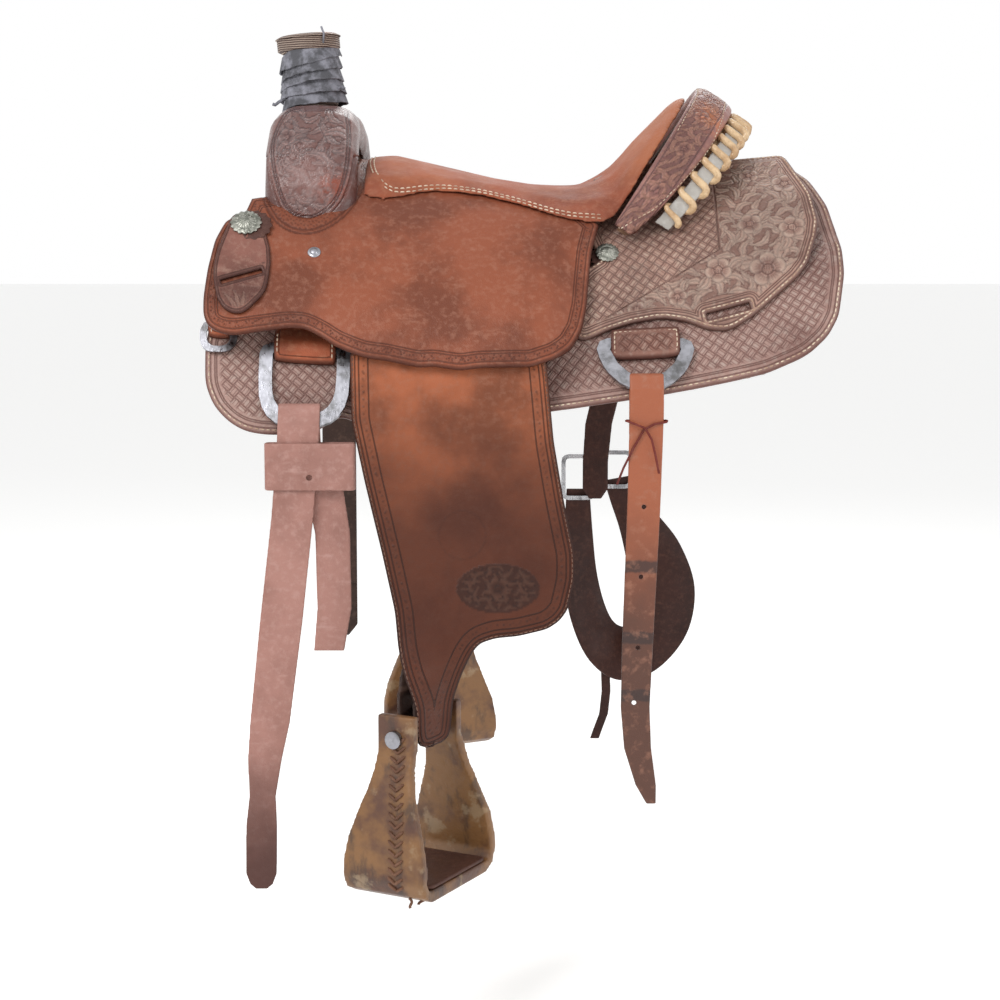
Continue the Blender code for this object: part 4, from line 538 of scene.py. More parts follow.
def laid(name, loops, lift, step, thick, material, body="saddle", tool=None, blur=120, spaces=(unroll, roll)):
    """A leather cut to its rims in fine mesh and blocked smoothly over what lies under it."""
    flat, faces = meshed_flat(loops, step)
    heights = lift(flat)
    ends = np.concatenate([faces[:, [0, 1]], faces[:, [1, 2]], faces[:, [2, 0]]])
    share = np.bincount(ends.ravel(), minlength=len(flat)).astype(float)
    for _ in range(blur):
        total = np.bincount(ends[:, 0], heights[ends[:, 1]], len(flat))
        total += np.bincount(ends[:, 1], heights[ends[:, 0]], len(flat))
        heights = heights * 0.4 + total / share * 0.6
    rim = distance_to(flat, loops)
    tooling = np.zeros((len(flat), 3))
    sunk = np.zeros(len(flat))
    if tool:
        tooling, sunk = tool(flat, rim)
    down = np.where(rim < 0.2 * step, thick * 0.3, 0.0)
    face = spaces[1](np.column_stack([flat, heights - down - sunk]))
    back_flat, back_faces = meshed_flat(loops, 0.014)
    back = spaces[1](np.column_stack([back_flat, lift(back_flat) - thick]))
    first = len(face)
    skin = [tuple(f) for f in faces] + [tuple(first + f[::-1]) for f in back_faces]
    start = 0
    for loop in loops:
        n = len(loop)
        for i in range(n):
            j = (i + 1) % n
            skin.append((start + j, start + i, first + start + i, first + start + j))
        start += n
    mesh = bpy.data.meshes.new(name)
    mesh.from_pydata(np.concatenate([face, back]).tolist(), [], skin)
    bm = bmesh.new()
    bm.from_mesh(mesh)
    bmesh.ops.recalc_face_normals(bm, faces=bm.faces[:])
    bm.to_mesh(mesh)
    bm.free()
    rest = np.zeros((len(back), 3))
    carried = {"flat": np.concatenate([np.column_stack([flat, rim]), rest]),
               "tool": np.concatenate([tooling, rest])}
    for key, values in carried.items():
        attribute = mesh.attributes.new(key, "FLOAT_VECTOR", "POINT")
        attribute.data.foreach_set("vector", values.astype(np.float32).ravel())
    mesh.polygons.foreach_set("use_smooth", [True] * len(mesh.polygons))
    mesh.materials.append(material)
    piece = bpy.data.objects.new(name, mesh)
    bpy.context.scene.collection.objects.link(piece)
    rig.ride(piece, body)
    return {"piece": piece, "loops": loops, "lift": lift, "roll": spaces[1]}


def drape(node, name, step, thick, material, body="saddle", tool=None, blur=120, spaces=(unroll, roll),
          near_half=False, least=0.35, reroute=None):
    """The near side's leather, cut and blocked over the face of its CAD solid, which it replaces."""
    loops, lift = face_of(node, step, spaces, near_half, least, reroute)
    cut = laid(name, loops, lift, step, thick, material, body, tool, blur, spaces)
    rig.replaces(cut["piece"], node)
    return cut


def to_off_side(piece, name, node=None):
    """The same piece for the off side."""
    mesh = piece.data.copy()
    mesh.transform(Matrix.Diagonal((1, -1, 1, 1)))
    mesh.flip_normals()
    copy = bpy.data.objects.new(name, mesh)
    bpy.context.scene.collection.objects.link(copy)
    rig.ride(copy, piece["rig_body"].replace("near", "off"))
    if node:
        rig.replaces(copy, node)


def stamp_all(flat, rim):
    """Basket stamping inside the border."""
    tooling = np.zeros((len(flat), 3))
    tooling[:, 0] = np.clip((rim - 0.0150) / 0.0012, 0, 1)
    return tooling, np.zeros(len(flat))


SKIRT = 0.0050
skirt_leather = leather("skirt_leather", (0.375, 0.228, 0.192), (0.115, 0.040, 0.030), (0.50, 0.42, 0.37), 0.43, gloss=0.42,
                        lines=((0.0060, 0.0007), (0.0105, 0.0006), (0.0125, 0.0006)), stamped=True)
skirt = drape("skirt_near", "skirt_near_leather", 0.0030, SKIRT, skirt_leather, tool=stamp_all)
to_off_side(skirt["piece"], "skirt_off_leather", "skirt_off")


def one_stitch(points, faces, spine, wide, tall, thick):
    """A rounded six-sided body along four points, thin at its ends."""
    first = len(points)
    for k, r in enumerate((0.4, 1.0, 1.0, 0.4)):
        for q in range(6):
            turn = math.pi * q / 3
            points.append(spine[k] + thick * r * (wide * math.cos(turn) + tall * math.sin(turn)))
    for k in range(3):
        for q in range(6):
            w = (q + 1) % 6
            faces.append((first + 6 * k + q, first + 6 * k + w, first + 6 * k + 6 + w, first + 6 * k + 6 + q))
    faces.append(tuple(first + q for q in range(6))[::-1])
    faces.append(tuple(first + 18 + q for q in range(6)))


def seam_of(name, points, faces, material, body):
    mesh = bpy.data.meshes.new(name)
    mesh.from_pydata([tuple(p) for p in points], [], faces)
    mesh.update()
    mesh.polygons.foreach_set("use_smooth", [True] * len(mesh.polygons))
    mesh.materials.append(material)
    seam = bpy.data.objects.new(name, mesh)
    bpy.context.scene.collection.objects.link(seam)
    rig.ride(seam, body)
    return seam


def stitches(name, cut, inset, keep, material, pitch=0.0052, length=0.0038, thick=0.0006, body="saddle"):
    """Waxed thread sewn along a leather's edge: one small rounded stitch after another."""
    points, faces = [], []
    for loop in cut["loops"]:
        ahead = np.roll(loop, -1, 0) - np.roll(loop, 1, 0)
        ahead /= np.maximum(np.linalg.norm(ahead, axis=1), 1e-9)[:, None]
        side = np.column_stack([-ahead[:, 1], ahead[:, 0]])
        probe = inside_of(loop + side * 0.001, cut["loops"])
        row = loop + np.where(probe[:, None], side, -side) * inset
        good = distance_to(row, cut["loops"]) > inset * 0.92
        run = 0.0
        for a, b, fine in zip(row, np.roll(row, -1, 0), good & np.roll(good, -1)):
            span = np.linalg.norm(b - a)
            while fine and run < span and span < 0.02:
                middle = a + (b - a) * run / span
                if keep(*middle):
                    t = (b - a) / span
                    ends = np.array([middle + t * length * k for k in (-0.5, -0.3, 0.3, 0.5)])
                    up = cut["lift"](ends) + np.array([0.0, 0.5, 0.5, 0.0]) * thick
                    spine = cut["roll"](np.column_stack([ends, up]))
                    wide = cut["roll"](np.column_stack([ends + (-t[1], t[0]), up]))[1] - spine[1]
                    wide /= np.linalg.norm(wide)
                    tall = np.cross(spine[3] - spine[0], wide)
                    one_stitch(points, faces, spine, wide, tall / np.linalg.norm(tall), thick)
                run += pitch
            run = run - span if fine else 0.0
    return seam_of(name, points, faces, material, body)


def sew(name, path, piece, material, pitch=0.0052, length=0.0038, thick=0.0006, slant=0.0, body="saddle"):
    """Stitches through a worked piece along a path near its surface, turned by slant degrees to the path."""
    skin = BVHTree.FromPolygons([v.co for v in piece.data.vertices], [p.vertices[:] for p in piece.data.polygons])
    path = np.array(path, float)
    for _ in range(2):
        path = np.concatenate([path[:1], np.stack([path[:-1] * 0.75 + path[1:] * 0.25,
                                                   path[:-1] * 0.25 + path[1:] * 0.75], 1).reshape(-1, 3), path[-1:]])
    points, faces, run = [], [], 0.0
    for a, b in zip(path, path[1:]):
        span = np.linalg.norm(b - a)
        while run < span:
            on, normal, _, _ = skin.find_nearest(Vector(a + (b - a) * run / span))
            t = Vector(b - a)
            t = (t - normal * t.dot(normal)).normalized()
            t.rotate(Matrix.Rotation(math.radians(slant), 3, normal))
            spine = [np.array(skin.find_nearest(on + t * length * k)[0] + normal * thick * h)
                     for k, h in ((-0.5, 0.0), (-0.3, 0.5), (0.3, 0.5), (0.5, 0.0))]
            one_stitch(points, faces, spine, np.array(normal.cross(t)), np.array(normal), thick)
            run += pitch
        run -= span
    return seam_of(name, points, faces, material, body)


def thread(name, colour, dark):
    finish = Finish(name, 0.65)
    shade = finish.step(finish.mottle(60), 0.35, 0.65)
    finish.press(finish.mottle(900, 2), 0.0003)
    return finish.done(finish.tint(shade, colour, dark))


cream_thread = thread("cream_thread", (0.74, 0.60, 0.46), (0.42, 0.27, 0.19))
skirt_seam = stitches("skirt_near_seam", skirt, 0.0042, lambda x, s: s > 0.19 or x > 0.19, cream_thread, pitch=0.0062,
                      length=0.0042, thick=0.0008)
to_off_side(skirt_seam, "skirt_off_seam")


# Fleece: wool pile under each skirt, against the horse's pad. Only its edge and its underside show.
def worked(name, node, voxel, passes, material, body="saddle", holes=(), shape=None):
    """A CAD solid taken over as one fine skin, its edges eased as a worked piece's are."""
    mesh = nodes[node].data.copy()
    mesh.name = name
    mesh.materials.clear()
    source = bpy.data.objects.new(name + "_blank", mesh)
    bpy.context.scene.collection.objects.link(source)
    bm = bmesh.new()
    bm.from_mesh(mesh)
    bmesh.ops.remove_doubles(bm, verts=bm.verts[:], dist=1e-5)
    bm.to_mesh(mesh)
    bm.free()
    tools = []
    for matrix, radius, length in holes:
        cutter = bpy.data.meshes.new("punch")
        bm = bmesh.new()
        bmesh.ops.create_cone(bm, cap_ends=True, segments=20, radius1=radius, radius2=radius, depth=length)
        bm.to_mesh(cutter)
        bm.free()
        punch = bpy.data.objects.new("punch", cutter)
        punch.matrix_world = matrix
        bpy.context.scene.collection.objects.link(punch)
        tools.append(punch)
        cut = source.modifiers.new("punch", "BOOLEAN")
        cut.object = punch
        cut.solver = "EXACT"
    skin = source.modifiers.new("skin", "REMESH")
    skin.mode = "VOXEL"
    skin.voxel_size = voxel
    skin.adaptivity = 0.0
    ease = source.modifiers.new("ease", "SMOOTH")
    ease.factor = 0.5
    ease.iterations = passes
    bpy.context.view_layer.update()
    made = bpy.data.meshes.new_from_object(source.evaluated_get(bpy.context.evaluated_depsgraph_get()))
    made.name = name
    made.materials.clear()
    made.materials.append(material)
    made.polygons.foreach_set("use_smooth", [True] * len(made.polygons))
    for tool in tools + [source]:
        bpy.data.objects.remove(tool)
    piece = bpy.data.objects.new(name, made)
    bpy.context.scene.collection.objects.link(piece)
    if shape:
        shape(piece)
    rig.ride(piece, body)
    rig.replaces(piece, node)
    return piece


wool = Finish("wool", 0.95)
wool.press(wool.mottle(260, 5), 0.004)
wool.press(wool.mottle(60, 3), 0.006)
wool.shader.inputs["Sheen Weight"].default_value = 0.4
wool_fleece = wool.done(wool.tint(wool.step(wool.mottle(40), 0.35, 0.65), (0.50, 0.41, 0.30), (0.30, 0.21, 0.14)))
fleece = worked("fleece_near_pile", "fleece_near", 0.0040, 3, wool_fleece)
to_off_side(fleece, "fleece_off_pile", "fleece_off")

# Tree: softwood bars, fork and cantle board under a hard clear skin, all covered; the ground seat is
# leather skived over the strainer. They are seen only from below and through the gullet.
wood = Finish("tree_wood", 0.5)
rings = wood.node("ShaderNodeTexWave", {"Vector": wood.place((1, 6, 6)), "Scale": 9, "Distortion": 4.0,
                                        "Detail": 3.0}).outputs["Fac"]
wood.press(rings, 0.0004)
tree_wood = wood.done(wood.tint(rings, (0.46, 0.32, 0.17), (0.31, 0.19, 0.09)))
flesh = leather("flesh_side", (0.20, 0.105, 0.060), (0.09, 0.040, 0.022), (0.32, 0.20, 0.13), 0.85, nap=0.0006)
for node, material in (("tree_bar_near", tree_wood), ("tree_bar_off", tree_wood), ("tree_fork", flesh),
                       ("tree_cantle", flesh)):
    nodes[node].data.materials.clear()
    nodes[node].data.materials.append(material)
worked("ground_seat_leather", "ground_seat", 0.0030, 3, flesh)

# Rigging: doubled leathers that carry the dees, sewn round their edges. Those in front are orange-brown
# and plain, and the rear ones are basket stamped.
rigging_leather = leather("rigging_leather", (0.40, 0.105, 0.048), (0.085, 0.026, 0.015), (0.50, 0.23, 0.13), 0.45,
                          lines=((0.0052, 0.0005),), scuffs=0.3)


stamped_tab = leather("rear_rigging_leather", (0.270, 0.135, 0.103), (0.085, 0.028, 0.020), (0.42, 0.32, 0.27), 0.45,
                      stamped=True)


def stamp_close(flat, rim):
    """Basket stamping up to a narrow border."""
    return stamp_all(flat, rim + 0.0085)


for node, step, face, tool in (("front_rigging", 0.0030, rigging_leather, None),
                               ("breast_tab", 0.0020, rigging_leather, None),
                               ("rear_rigging", 0.0030, stamped_tab, stamp_close)):
    rigging = drape(node + "_near", node + "_near_leather", step, 0.0030, face, blur=25, tool=tool)
    to_off_side(rigging["piece"], node + "_off_leather", node + "_off")
    rigging_seam = stitches(node + "_near_seam", rigging, 0.0035, lambda x, s: True, cream_thread, thick=0.0007)
    to_off_side(rigging_seam, node + "_off_seam")


# Dees: bent stainless bar, flat faced, mottled bright and dull with oil.
def metal(name, bright, dull, rough, scratch=0.25):
    finish = Finish(name, rough, 1.0)
    stain = finish.step(finish.mottle(55, 4), 0.42, 0.70)
    finish.press(finish.mottle(420, 3, (1, 1, 0.25)), 0.00012)
    return finish.done(finish.tint(stain, bright, dull),
                       finish.step(finish.mottle(130, 4), 0.3, 0.7, rough - 0.08, rough + scratch))


steel = metal("dee_steel", (0.34, 0.34, 0.37), (0.15, 0.148, 0.150), 0.30)
for node in ("front_dee", "rear_dee", "breast_dee", "stirrup_bolt"):
    for side in ("_near", "_off"):
        metal_part = nodes[node + side]
        metal_part.data.materials.clear()
        metal_part.data.materials.append(steel)
        metal_part.data.shade_smooth()


def rounded_dee(end, side, share):
    """The dee is bent round under its flat top bar, the rear one to a half circle."""
    node = end + "_dee_" + side
    piece = bpy.data.objects.new(node + "_bar", nodes[node].data.copy())
    bpy.context.scene.collection.objects.link(piece)
    co = np.array([v.co[:] for v in piece.data.vertices])
    low, high = co.min(0), co.max(0)
    middle = (low[0] + high[0]) / 2
    half = (high[0] - low[0]) / 2
    top = high[2] - 0.005
    right, down = co[:, 0] - middle, top - co[:, 2]
    angle, r = np.arctan2(down, right), np.hypot(right, down)
    stations = np.linspace(0.06, math.pi - 0.06, 48)
    outer = np.array([r[np.abs(angle - a) < 0.10].max() if (np.abs(angle - a) < 0.10).any() else half for a in stations])
    wanted = half + (top - low[2] - half) * np.sin(stations) ** 2
    ease = np.clip(down / 0.010, 0, 1)
    shift = np.interp(angle, stations, wanted - outer) * ease * share
    co[:, 0] += shift * np.cos(angle)
    co[:, 2] -= shift * np.sin(angle)
    piece.data.vertices.foreach_set("co", co.astype(np.float32).ravel())
    piece.data.update()
    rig.ride(piece, side + "_" + end + "_dee")
    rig.replaces(piece, node)
    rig.slot(piece, "steel")


for side in ("near", "off"):
    rounded_dee("rear", side, 1.0)

# Seat jockey: one broad leather under the fork and the seat, hanging down both sides over the fenders.
# It is plain, oiled and greasy from the rider's legs, with a stamped band along its edge.
JOCKEY = 0.0045
jockey_leather = leather("jockey_leather", (0.285, 0.083, 0.042), (0.070, 0.020, 0.012), (0.42, 0.20, 0.135), 0.37,
                         lines=((0.0050, 0.0008), (0.0125, 0.0007), (0.0150, 0.0006)), scuffs=0.30, tooled=True,
                         band=(0.0062, 0.0118))


def jockey_rim(rim):
    """It runs on under the fork cover, and stops short under the padded seat."""
    if len(rim) < 40:
        return rim
    rim = rerouted(rim, (-0.171, -0.009), (0.076, 0.147), [(-0.171, 0.050), (-0.150, 0.066), (-0.100, 0.078),
                                                           (-0.030, 0.088), (0.030, 0.104), (0.055, 0.122)])
    return rerouted(rim, (-0.306, 0.148), (-0.184, -0.009), [(-0.300, 0.125), (-0.255, 0.110), (-0.225, 0.070),
                                                             (-0.212, 0.000)])


COVER_RIM = [np.array([(-0.262, 0.190), (-0.279, 0.160), (-0.2832, 0.1318), (-0.2801, 0.1099), (-0.275, 0.0924),
                       (-0.2685, 0.072), (-0.2556, 0.058), (-0.2382, 0.0530), (-0.2197, 0.0600), (-0.2034, 0.0754),
                       (-0.1940, 0.1000), (-0.190, 0.1300), (-0.192, 0.160), (-0.200, 0.190)])]
for _ in range(3):
    COVER_RIM = [np.stack([c * 0.75 + np.roll(c, -1, 0) * 0.25, c * 0.25 + np.roll(c, -1, 0) * 0.75], 1).reshape(-1, 2)
                 for c in COVER_RIM]


def jockey_tooling(flat, rim):
    """Pressed down under the fork cover's round end, with a stamped band round it, and painted shade on the leather
    just below that end.
    """
    z = roll(np.column_stack([flat, np.full(len(flat), 0.050)]))[:, 2]
    place = np.column_stack([flat[:, 0], z])
    off = distance_to(place, COVER_RIM)
    under = inside_of(place, COVER_RIM)
    sunk = np.where(under, 0.034 * np.clip(off / 0.006, 0, 1), 0.0)
    off = np.where(under, 0, off)
    low = np.clip((0.100 - z) / 0.02, 0, 1)
    line = np.maximum(np.clip(1.7 - np.abs(off - 0.0125) / 0.0012, 0, 1), np.clip(1.7 - np.abs(off - 0.0165) / 0.0011, 0, 1))
    stamps = np.clip(np.sin(flat[:, 0] * 1150) * np.sin(flat[:, 1] * 1150) * 2, 0, 1) * (off < 0.0115) * (off > 0.001)
    # Painted shade: darkest at the cover's round end and fading out over 34 mm, only low down; it rides in the cut
    # channel that takes the dark tint.
    painted_shade_near_cover = 0.42 * np.clip(1.2 - off / 0.034, 0, 1)
    cut = np.maximum(np.maximum(line, stamps * 0.9), painted_shade_near_cover) * low
    return np.column_stack([np.zeros(len(flat)), cut, np.zeros(len(flat))]), sunk + line * low * 0.0005


jockey = drape("seat_jockey", "seat_jockey_near_leather", 0.0021, JOCKEY, jockey_leather, near_half=True, blur=110,
               reroute=jockey_rim, tool=jockey_tooling)
to_off_side(jockey["piece"], "seat_jockey_off_leather")
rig.slot(jockey["piece"], "russet_leather")


def off_path(path):
    return [(x, -y, z) for x, y, z in path]


def corners_of(piece):
    co = np.empty(len(piece.data.vertices) * 3, np.float32)
    piece.data.vertices.foreach_get("co", co)
    normal = np.array([v.normal[:] for v in piece.data.vertices])
    return co.reshape(-1, 3).astype(float), normal


# Padded seat: roughout leather over thin foam, paler where it rises to the cantle, sewn down with
# a double row of cream thread along the edge on both sides.
suede = leather("seat_suede", (0.345, 0.082, 0.033), (0.12, 0.036, 0.021), (0.46, 0.21, 0.125), 0.66, nap=0.0004,
                cells=1500, scuffs=0.55, fade=(0.17, 0.07, (0.46, 0.155, 0.068)))
seat = worked("padded_seat_suede", "padded_seat", 0.0030, 14, suede)
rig.padded(seat, fill=0.5)
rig.slot(seat, "roughout_leather")
seat_points, _ = corners_of(seat)
for label, inset in (("outer", 0.0026), ("inner", 0.0074)):
    row = []
    for y in (-0.040, -0.062, -0.084, -0.104):
        slab = seat_points[np.abs(seat_points[:, 1] - y) < 0.003]
        front = slab[slab[:, 0].argmin()]
        row.append((front[0] + inset, y, front[2] + 0.008))
    for x in np.arange(-0.160, 0.090, 0.010):
        slab = seat_points[(np.abs(seat_points[:, 0] - x) < 0.003) & (seat_points[:, 1] < 0)]
        edge = slab[slab[:, 1].argmin()]
        row.append((x, edge[1] + inset * 0.80, edge[2] + inset * 0.85))
    row = np.array(row)
    for _ in range(3):
        row[1:-1] = (row[:-2] + 2 * row[1:-1] + row[2:]) / 4
    sew("seat_seam_near_" + label, row, seat, cream_thread, pitch=0.0066, length=0.0046, thick=0.0008)
    sew("seat_seam_off_" + label, row * (1, -1, 1), seat, cream_thread, pitch=0.0066, length=0.0046, thick=0.0008)


# Rear jockeys: carved on the tail side and basket stamped towards the seat. A flower is cut first, its
# stems and leaves run round it, and the ground between them is matted down and takes the dark dye.
CUT = 0.00075


def bare(flat):
    """Leather with nothing carved on it yet."""
    return {"in": np.zeros(len(flat)), "line": np.zeros(len(flat)), "high": np.zeros(len(flat))}


def carve(state, out, line, high):
    """Cut one motif over the others. out is the distance outside its edge; line and high are its own."""
    within = out < 0
    state["line"] = np.where(within, line, state["line"])
    state["high"] = np.where(within, high, state["high"])
    state["in"] = np.maximum(state["in"], within)
    state["line"] = np.maximum(state["line"], np.clip(1.6 - np.abs(out) / CUT, 0, 1))


def flower(state, flat, x, y, r, turn):
    du, dv = flat[:, 0] - x, flat[:, 1] - y
    d, a = np.hypot(du, dv), np.arctan2(dv, du) + turn
    lobe = np.abs(np.cos(2.5 * a))
    out = d - r * (0.70 + 0.30 * lobe ** 0.6)
    between = np.abs(np.cos(2.5 * a)) * d
    line = np.clip(1.6 - between / (2.5 * CUT), 0, 1) * (d > 0.30 * r)
    line = np.maximum(line, np.clip(1.5 - np.abs(d - 0.30 * r) / CUT, 0, 1))
    veins = np.abs(np.sin(12.5 * a)) * d
    line = np.maximum(line, 0.55 * np.clip(1.5 - veins / (12 * CUT), 0, 1) * (d < 0.72 * r) * (d > 0.42 * r))
    seeds = np.sin(du * 2400) * np.sin(dv * 2400)
    line = np.where(d < 0.26 * r, np.clip(seeds * 1.5, 0, 0.8), line)
    carve(state, out, line, np.clip((d / r - 0.45) * 1.8, 0, 1))


def leaf(state, flat, x, y, long, wide, turn, bend):
    du, dv = flat[:, 0] - x, flat[:, 1] - y
    u = du * math.cos(turn) + dv * math.sin(turn)
    v = dv * math.cos(turn) - du * math.sin(turn)
    t = u / long
    v = v - bend * long * t * (1 - t) * 2
    half = wide * np.sqrt(np.clip(t, 0, 1)) * (1 - np.clip(t, 0, 1)) * 2.0
    half = half * (1 + 0.12 * np.sin(t * 22))
    out = np.maximum(np.abs(v) - half, np.maximum(-t, t - 1) * long)
    line = np.clip(1.5 - np.abs(v) / CUT, 0, 1) * (t < 0.9)
    ribs = np.abs(np.sin((t * long + np.abs(v) * 0.8) * 520))
    line = np.maximum(line, 0.5 * np.clip(1.3 - ribs * 3.5, 0, 1))
    carve(state, out, line, np.clip(1 - np.abs(v) / wide, 0, 1) * 0.8)


def spray(state, flat, x, y, r, turn, count=7):
    """A flower with leaves curling round it."""
    for k in range(count):
        a = turn + 2 * math.pi * k / count
        leaf(state, flat, x + 0.75 * r * math.cos(a), y + 0.75 * r * math.sin(a), 1.55 * r, 0.42 * r,
             a + (0.75 if k % 2 else -0.35), 0.55 if k % 2 else -0.55)
    flower(state, flat, x, y, r, turn)


def foliage(state, flat, flowers, low, high, apart, long, wide):
    """Fills the ground with leaves that run round the nearest flower, row by row."""
    flowers = np.array(flowers)
    for row, y in enumerate(np.arange(low[1], high[1], apart * 0.8)):
        for k, x in enumerate(np.arange(low[0] + (row % 2) * apart / 2, high[0], apart)):
            near = flowers[((flowers[:, :2] - (x, y)) ** 2).sum(1).argmin()]
            round_it = math.atan2(y - near[1], x - near[0]) + math.pi / 2
            flip = 1 if (row + k) % 2 else -1
            turn = round_it + flip * 0.5 + 0.4 * math.sin(5.1 * k + 2.3 * row)
            leaf(state, flat, x - long / 2 * math.cos(turn), y - long / 2 * math.sin(turn), long, wide, turn, 0.6 * flip)


def carved(state, inside, weave=None):
    """Turns what is carved into the dye, the raised parts that take a painted highlight, and the depth: inside is 1
    where the carver worked.
    """
    matted = (1 - state["in"]) * 0.50
    cut = np.maximum(state["line"], matted) * inside
    tooling = np.column_stack([np.zeros(len(cut)) if weave is None else weave, cut, state["high"] * state["in"] * inside])
    return tooling, cut * 0.0007 - state["high"] * state["in"] * inside * 0.0005


def rear_tooling(flat, rim):
    state = bare(flat)
    flowers = ((0.258, 0.200, 0.020, 0.3), (0.205, 0.196, 0.015, 0.9), (0.288, 0.150, 0.015, 0.5),
               (0.160, 0.224, 0.011, 0.2), (0.116, 0.236, 0.010, 0.8), (0.075, 0.246, 0.009, 0.3),
               (0.286, 0.082, 0.015, 0.1), (0.243, 0.140, 0.014, 0.7), (0.248, 0.062, 0.012, 0.6), (0.200, 0.140, 0.012, 0.1))
    foliage(state, flat, flowers, (0.040, 0.020), (0.320, 0.275), 0.0175, 0.0290, 0.0062)
    for x, s, r, turn in flowers:
        spray(state, flat, x, s, r, turn)
    border = np.clip((rim - 0.0125) / 0.0012, 0, 1)
    split = flat[:, 0] - (0.208 - 1.7 * np.clip(flat[:, 1] - 0.172, 0, 0.09))
    side = np.clip(split / 0.0012, 0, 1)
    band = np.abs(split) < 0.0012
    slot = np.hypot(flat[:, 0] - 0.2135, (flat[:, 1] - 0.2445) * 1.75)
    clear = np.clip((slot - 0.034) / 0.002, 0, 1)
    inside = border * clear * side * ~band
    tooling, sunk = carved(state, inside, border * clear * (1 - side) * ~band)
    edge = np.clip(1.6 - np.abs(slot - 0.034) / 0.0009, 0, 1) * border
    edge = np.maximum(edge, np.clip(1.6 - np.abs(split) / 0.0009, 0, 1) * border * clear)
    tooling[:, 1] = np.maximum(tooling[:, 1], edge)
    return tooling, np.maximum(sunk, edge * 0.0006)


tooled_leather = leather("tooled_leather", (0.400, 0.232, 0.180), (0.085, 0.033, 0.025), (0.58, 0.46, 0.37), 0.38, gloss=0.42,
                         lines=((0.0055, 0.0007), (0.0088, 0.0006), (0.0112, 0.0006)), stamped=True, tooled=True)


def under_cantle(rim):
    """The rear jockey runs on under the cantle, where it is nailed to the bar."""
    if len(rim) < 40:
        return rim
    return rerouted(rim, (0.070, 0.180), (0.228, 0.0255), [(0.062, 0.130), (0.075, 0.050), (0.110, 0.022), (0.165, 0.020)])


rear = drape("rear_jockey_near", "rear_jockey_near_leather", 0.0013, 0.0042, tooled_leather, tool=rear_tooling,
             reroute=under_cantle)
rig.slot(rear["piece"], "russet_leather")
to_off_side(rear["piece"], "rear_jockey_off_leather", "rear_jockey_off")
rear_seam = stitches("rear_jockey_near_seam", rear, 0.0034, lambda x, s: s > 0.17 or x > 0.25, cream_thread,
                     pitch=0.0058, length=0.0040, thick=0.0008)
to_off_side(rear_seam, "rear_jockey_off_seam")

# Fork cover: one wet hide pulled over both swells, glossy where ropes and hands rub it, carved with a
# flower and leaves, with a double line round its lower end.
def dressed(piece, flat, rim, tooling):
    """Gives a worked piece its place in the flat and its carving."""
    for key, values in (("flat", np.column_stack([flat, rim])), ("tool", tooling)):
        attribute = piece.data.attributes.new(key, "FLOAT_VECTOR", "POINT")
        attribute.data.foreach_set("vector", np.asarray(values, np.float32).ravel())


def press_in(piece, co, normal, sunk):
    piece.data.vertices.foreach_set("co", (co - normal * sunk[:, None]).astype(np.float32).ravel())
    piece.data.update()


def fork_shape(piece):
    co, normal = corners_of(piece)
    flat = np.column_stack([co[:, 0], co[:, 2]])
    rim = distance_to(flat, COVER_RIM)
    within = inside_of(flat, COVER_RIM)
    side = np.clip((np.abs(co[:, 1]) - 0.045) / 0.03, 0, 1)
    state = bare(flat)
    foliage(state, flat, [(-0.262, 0.146)], (-0.285, 0.052), (-0.190, 0.175), 0.0150, 0.0230, 0.0050)
    spray(state, flat, -0.262, 0.146, 0.0105, 0.5, 6)
    for x, z, long, wide, turn, bend in ((-0.262, 0.112, 0.040, 0.0085, -0.9, 0.5), (-0.240, 0.098, 0.036, 0.008, 0.5, -0.5),
                                         (-0.236, 0.074, 0.034, 0.0075, 0.9, 0.5), (-0.272, 0.124, 0.030, 0.0070, -1.9, -0.5),
                                         (-0.222, 0.150, 0.034, 0.0080, -0.4, 0.5), (-0.214, 0.086, 0.026, 0.006, 1.4, 0.5),
                                         (-0.253, 0.085, 0.026, 0.006, -0.2, -0.5), (-0.236, 0.128, 0.030, 0.007, -0.8, 0.5)):
        leaf(state, flat, x, z, long, wide, turn, bend)
    ease = np.clip((rim - 0.0075) / 0.001, 0, 1) * within * side
    smooth = 1 - np.clip(1.3 - np.hypot((co[:, 0] + 0.236) / 0.034, (co[:, 2] - 0.098) / 0.026), 0, 1) * 0.75
    lines = np.maximum(state["line"], 0.35 * (1 - state["in"])) * ease * smooth
    lines = np.maximum(lines, np.clip(1.6 - np.abs(rim - 0.0028) / 0.0009, 0, 1) * within * side)
    lines = np.maximum(lines, np.clip(1.6 - np.abs(rim - 0.0056) / 0.0008, 0, 1) * within * side)
    # The cover's low flap outside its rim is pressed in and darkened with painted shade, carried along with the carving
    # lines.
    apron_in_painted_shade = side * np.clip((rim - 0.0005) / 0.0015, 0, 1) * (~within) * (co[:, 2] < 0.125)
    lines = np.maximum(lines, apron_in_painted_shade * 0.55)
    red = np.clip(1.4 - np.hypot((co[:, 0] + 0.212) / 0.016, (co[:, 2] - 0.092) / 0.018), 0, 1) * side
    tooling = np.column_stack([red, lines, state["high"] * state["in"] * ease * 0.7])
    dressed(piece, flat, rim * 0 + 0.05, tooling)
    press_in(piece, co, normal, lines * 0.0006 + apron_in_painted_shade * 0.0022 - state["high"] * ease * state["in"] * 0.0005)


fork_leather = leather("fork_leather", (0.200, 0.092, 0.078), (0.040, 0.014, 0.014), (0.40, 0.33, 0.32), 0.24, tooled=True, gloss=0.42,
                       patch=(0.26, 0.060, 0.032),
                       scuffs=0.55)
fork = worked("fork_cover_leather", "fork_cover", 0.0017, 12, fork_leather, shape=fork_shape)
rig.slot(fork, "dark_leather")
lining_leather = leather("gullet_leather", (0.52, 0.28, 0.165), (0.20, 0.090, 0.055), (0.62, 0.42, 0.28), 0.6)
worked("gullet_lining_leather", "gullet_lining", 0.0018, 4, lining_leather)

